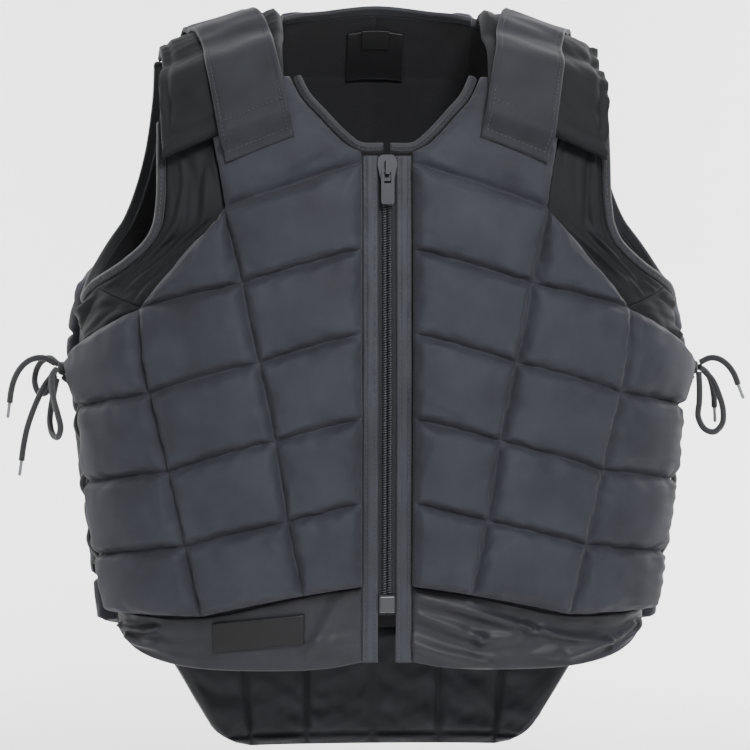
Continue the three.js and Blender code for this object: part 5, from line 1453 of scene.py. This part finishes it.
# Side lacing: the braided lace runs down through the loops of both strips, crosses at the foot and
# comes back up over itself to the bow's knot. Each knot is the lace's own overhand knot, pulled tight
LACE_ROWS = 4
LACE_TOP_DROP = 258.0
LACE_PITCH = 42.0
LACE_STRIP_WIDTH = 9.0
LACE_STRIP_THICKNESS = 1.4
LACE_LOOP_DEPTH = 6.0
LACE_STRAIGHT = 2.5
LACING_STEP = 2.2
KNOT = {"turn": 87, "rise": 23, "out": 17, "z": 5.5}
KNOT_SCALE = 1.1
lace_level = side_cloth_top + GAP + LACE_STRIP_THICKNESS + LACE_DIAMETER / 2 + LAYER_GAP
lace_heights = [-(LACE_TOP_DROP + row * LACE_PITCH) for row in range(LACE_ROWS)]


def loop_turn(edge, h):
    rails = {"front": front_side_rail, "back": back_side_rail}[edge]
    return rails(-h, -h, 2 * CURVE_GAP + LACE_STRIP_WIDTH / 2)(np.array(0.0))[0]


def lace_route():
    reach = LACE_LOOP_DEPTH / 2 + LACE_STRAIGHT
    centre = skin(math.radians(KNOT["turn"]), KNOT["rise"] - LACE_TOP_DROP, KNOT["out"])
    apart = LACE_DIAMETER / 2 + GAP
    down, up = ([centre + (-1, dy, -KNOT["z"] - CURVE_GAP)] for dy in (-apart, apart))
    for row, h in enumerate(lace_heights):
        edges = ("back", "front") if row % 2 else ("front", "back")
        for route, edge in zip((down, up), edges):
            route += [skin(loop_turn(edge, h), h + step, lace_level) for step in (reach, 0, -reach)]
        if row + 1 < LACE_ROWS:
            between = (h + lace_heights[row + 1]) / 2
            turn = (loop_turn("front", between) + loop_turn("back", between)) / 2
            down.append(skin(turn, between, lace_level))
            up.append(skin(turn, between, lace_level + LACE_DIAMETER + LAYER_GAP))
    lowest = lace_heights[-1] - reach - 5
    turn = (loop_turn("front", lowest) + loop_turn("back", lowest)) / 2
    return centre, down + [skin(turn, lowest, lace_level)] + up[::-1]


knot_centre, route = lace_route()
lacing_line, length = evenly(through(np.array(route), 12), LACING_STEP)
t = np.linspace(0, 2 * math.pi, 72)
hitch = KNOT_SCALE * np.stack([np.sin(3 * t), np.sin(t) + 2 * np.sin(2 * t),
                               np.cos(t) - 2 * np.cos(2 * t)], 1)
for side, mirror in (("left", (1, 1, 1)), ("right", (-1, 1, 1))):
    lacing = tube_object("side_lacing_braid_" + side, lacing_line * mirror, LACE_DIAMETER / 2, 12, lace_braid)
    knot = tube_object("lace_knot_braid_" + side, (knot_centre + hitch) * mirror, LACE_DIAMETER / 2, 12,
                       lace_braid)
    dress(lacing, "side_lacing_" + side)
    dress(knot, "lace_knot_" + side)


# Labels, left bare: a woven satin patch on the right hem, and a care label and a size tag sewn
# inside the neck, all of them black
PATCH_PLACE = {"inner_x": 60, "outer_x": 126, "inner_drop": 411, "outer_drop": 418}
PATCH_HEIGHT = 21.0
PATCH_THICKNESS = 1.2
FACING_FOLD = 0.8
LABEL_TURN = 60
LABEL_TURN_RATE = 0.5
LABEL_THICKNESS = 1.0
NECK_LABEL = (44.0, 38.0)
SIZE_TAG = (22.0, 17.0)
satin = woven_cloth("black woven satin label", "#0C0C0E", "#121214", 0.8, 0.03, 0.42, 0.0)
patch_low = CLOTH + FACING_FOLD + 2 * LAYER_GAP


def patch_rail(x, drop):
    return rail(place(x, -drop), place(x, -(drop + PATCH_HEIGHT)))


patch_rails = [patch_rail(PATCH_PLACE["inner_x"], PATCH_PLACE["inner_drop"]),
               patch_rail(PATCH_PLACE["outer_x"], PATCH_PLACE["outer_drop"])]
patch_sheet = Sheet().patch(*patch_rails, stops(40), stops(16), flat(patch_low),
                            draped(patch_low, PATCH_THICKNESS, flat(0), 1.2))
patch = soft_piece("hem_patch_satin", patch_sheet, "hem_patch", [satin], None, True)

for name, node, size, top_turn, layer in (("neck_label_satin", "neck_label", NECK_LABEL, LABEL_TURN, 0),
                                          ("size_tag_satin", "size_tag", SIZE_TAG, LABEL_TURN + 1, 1)):
    def label_rail(t, size=size, top_turn=top_turn):
        turns = top_turn - np.asarray(t, float) * size[1] * LABEL_TURN_RATE
        places = [place_on_arch(size[0] / 2, a, "back") for a in turns.ravel()]
        return np.array(places).reshape(turns.shape + (2,))
    start = CURVE_GAP + LAYER_GAP + layer * (LABEL_THICKNESS + GAP)
    label_sheet = Sheet().patch(label_rail, across_back(label_rail), stops(24), stops(20),
                                flat(-start - LABEL_THICKNESS), flat(-start))
    label = soft_piece(name, label_sheet, node, [satin])
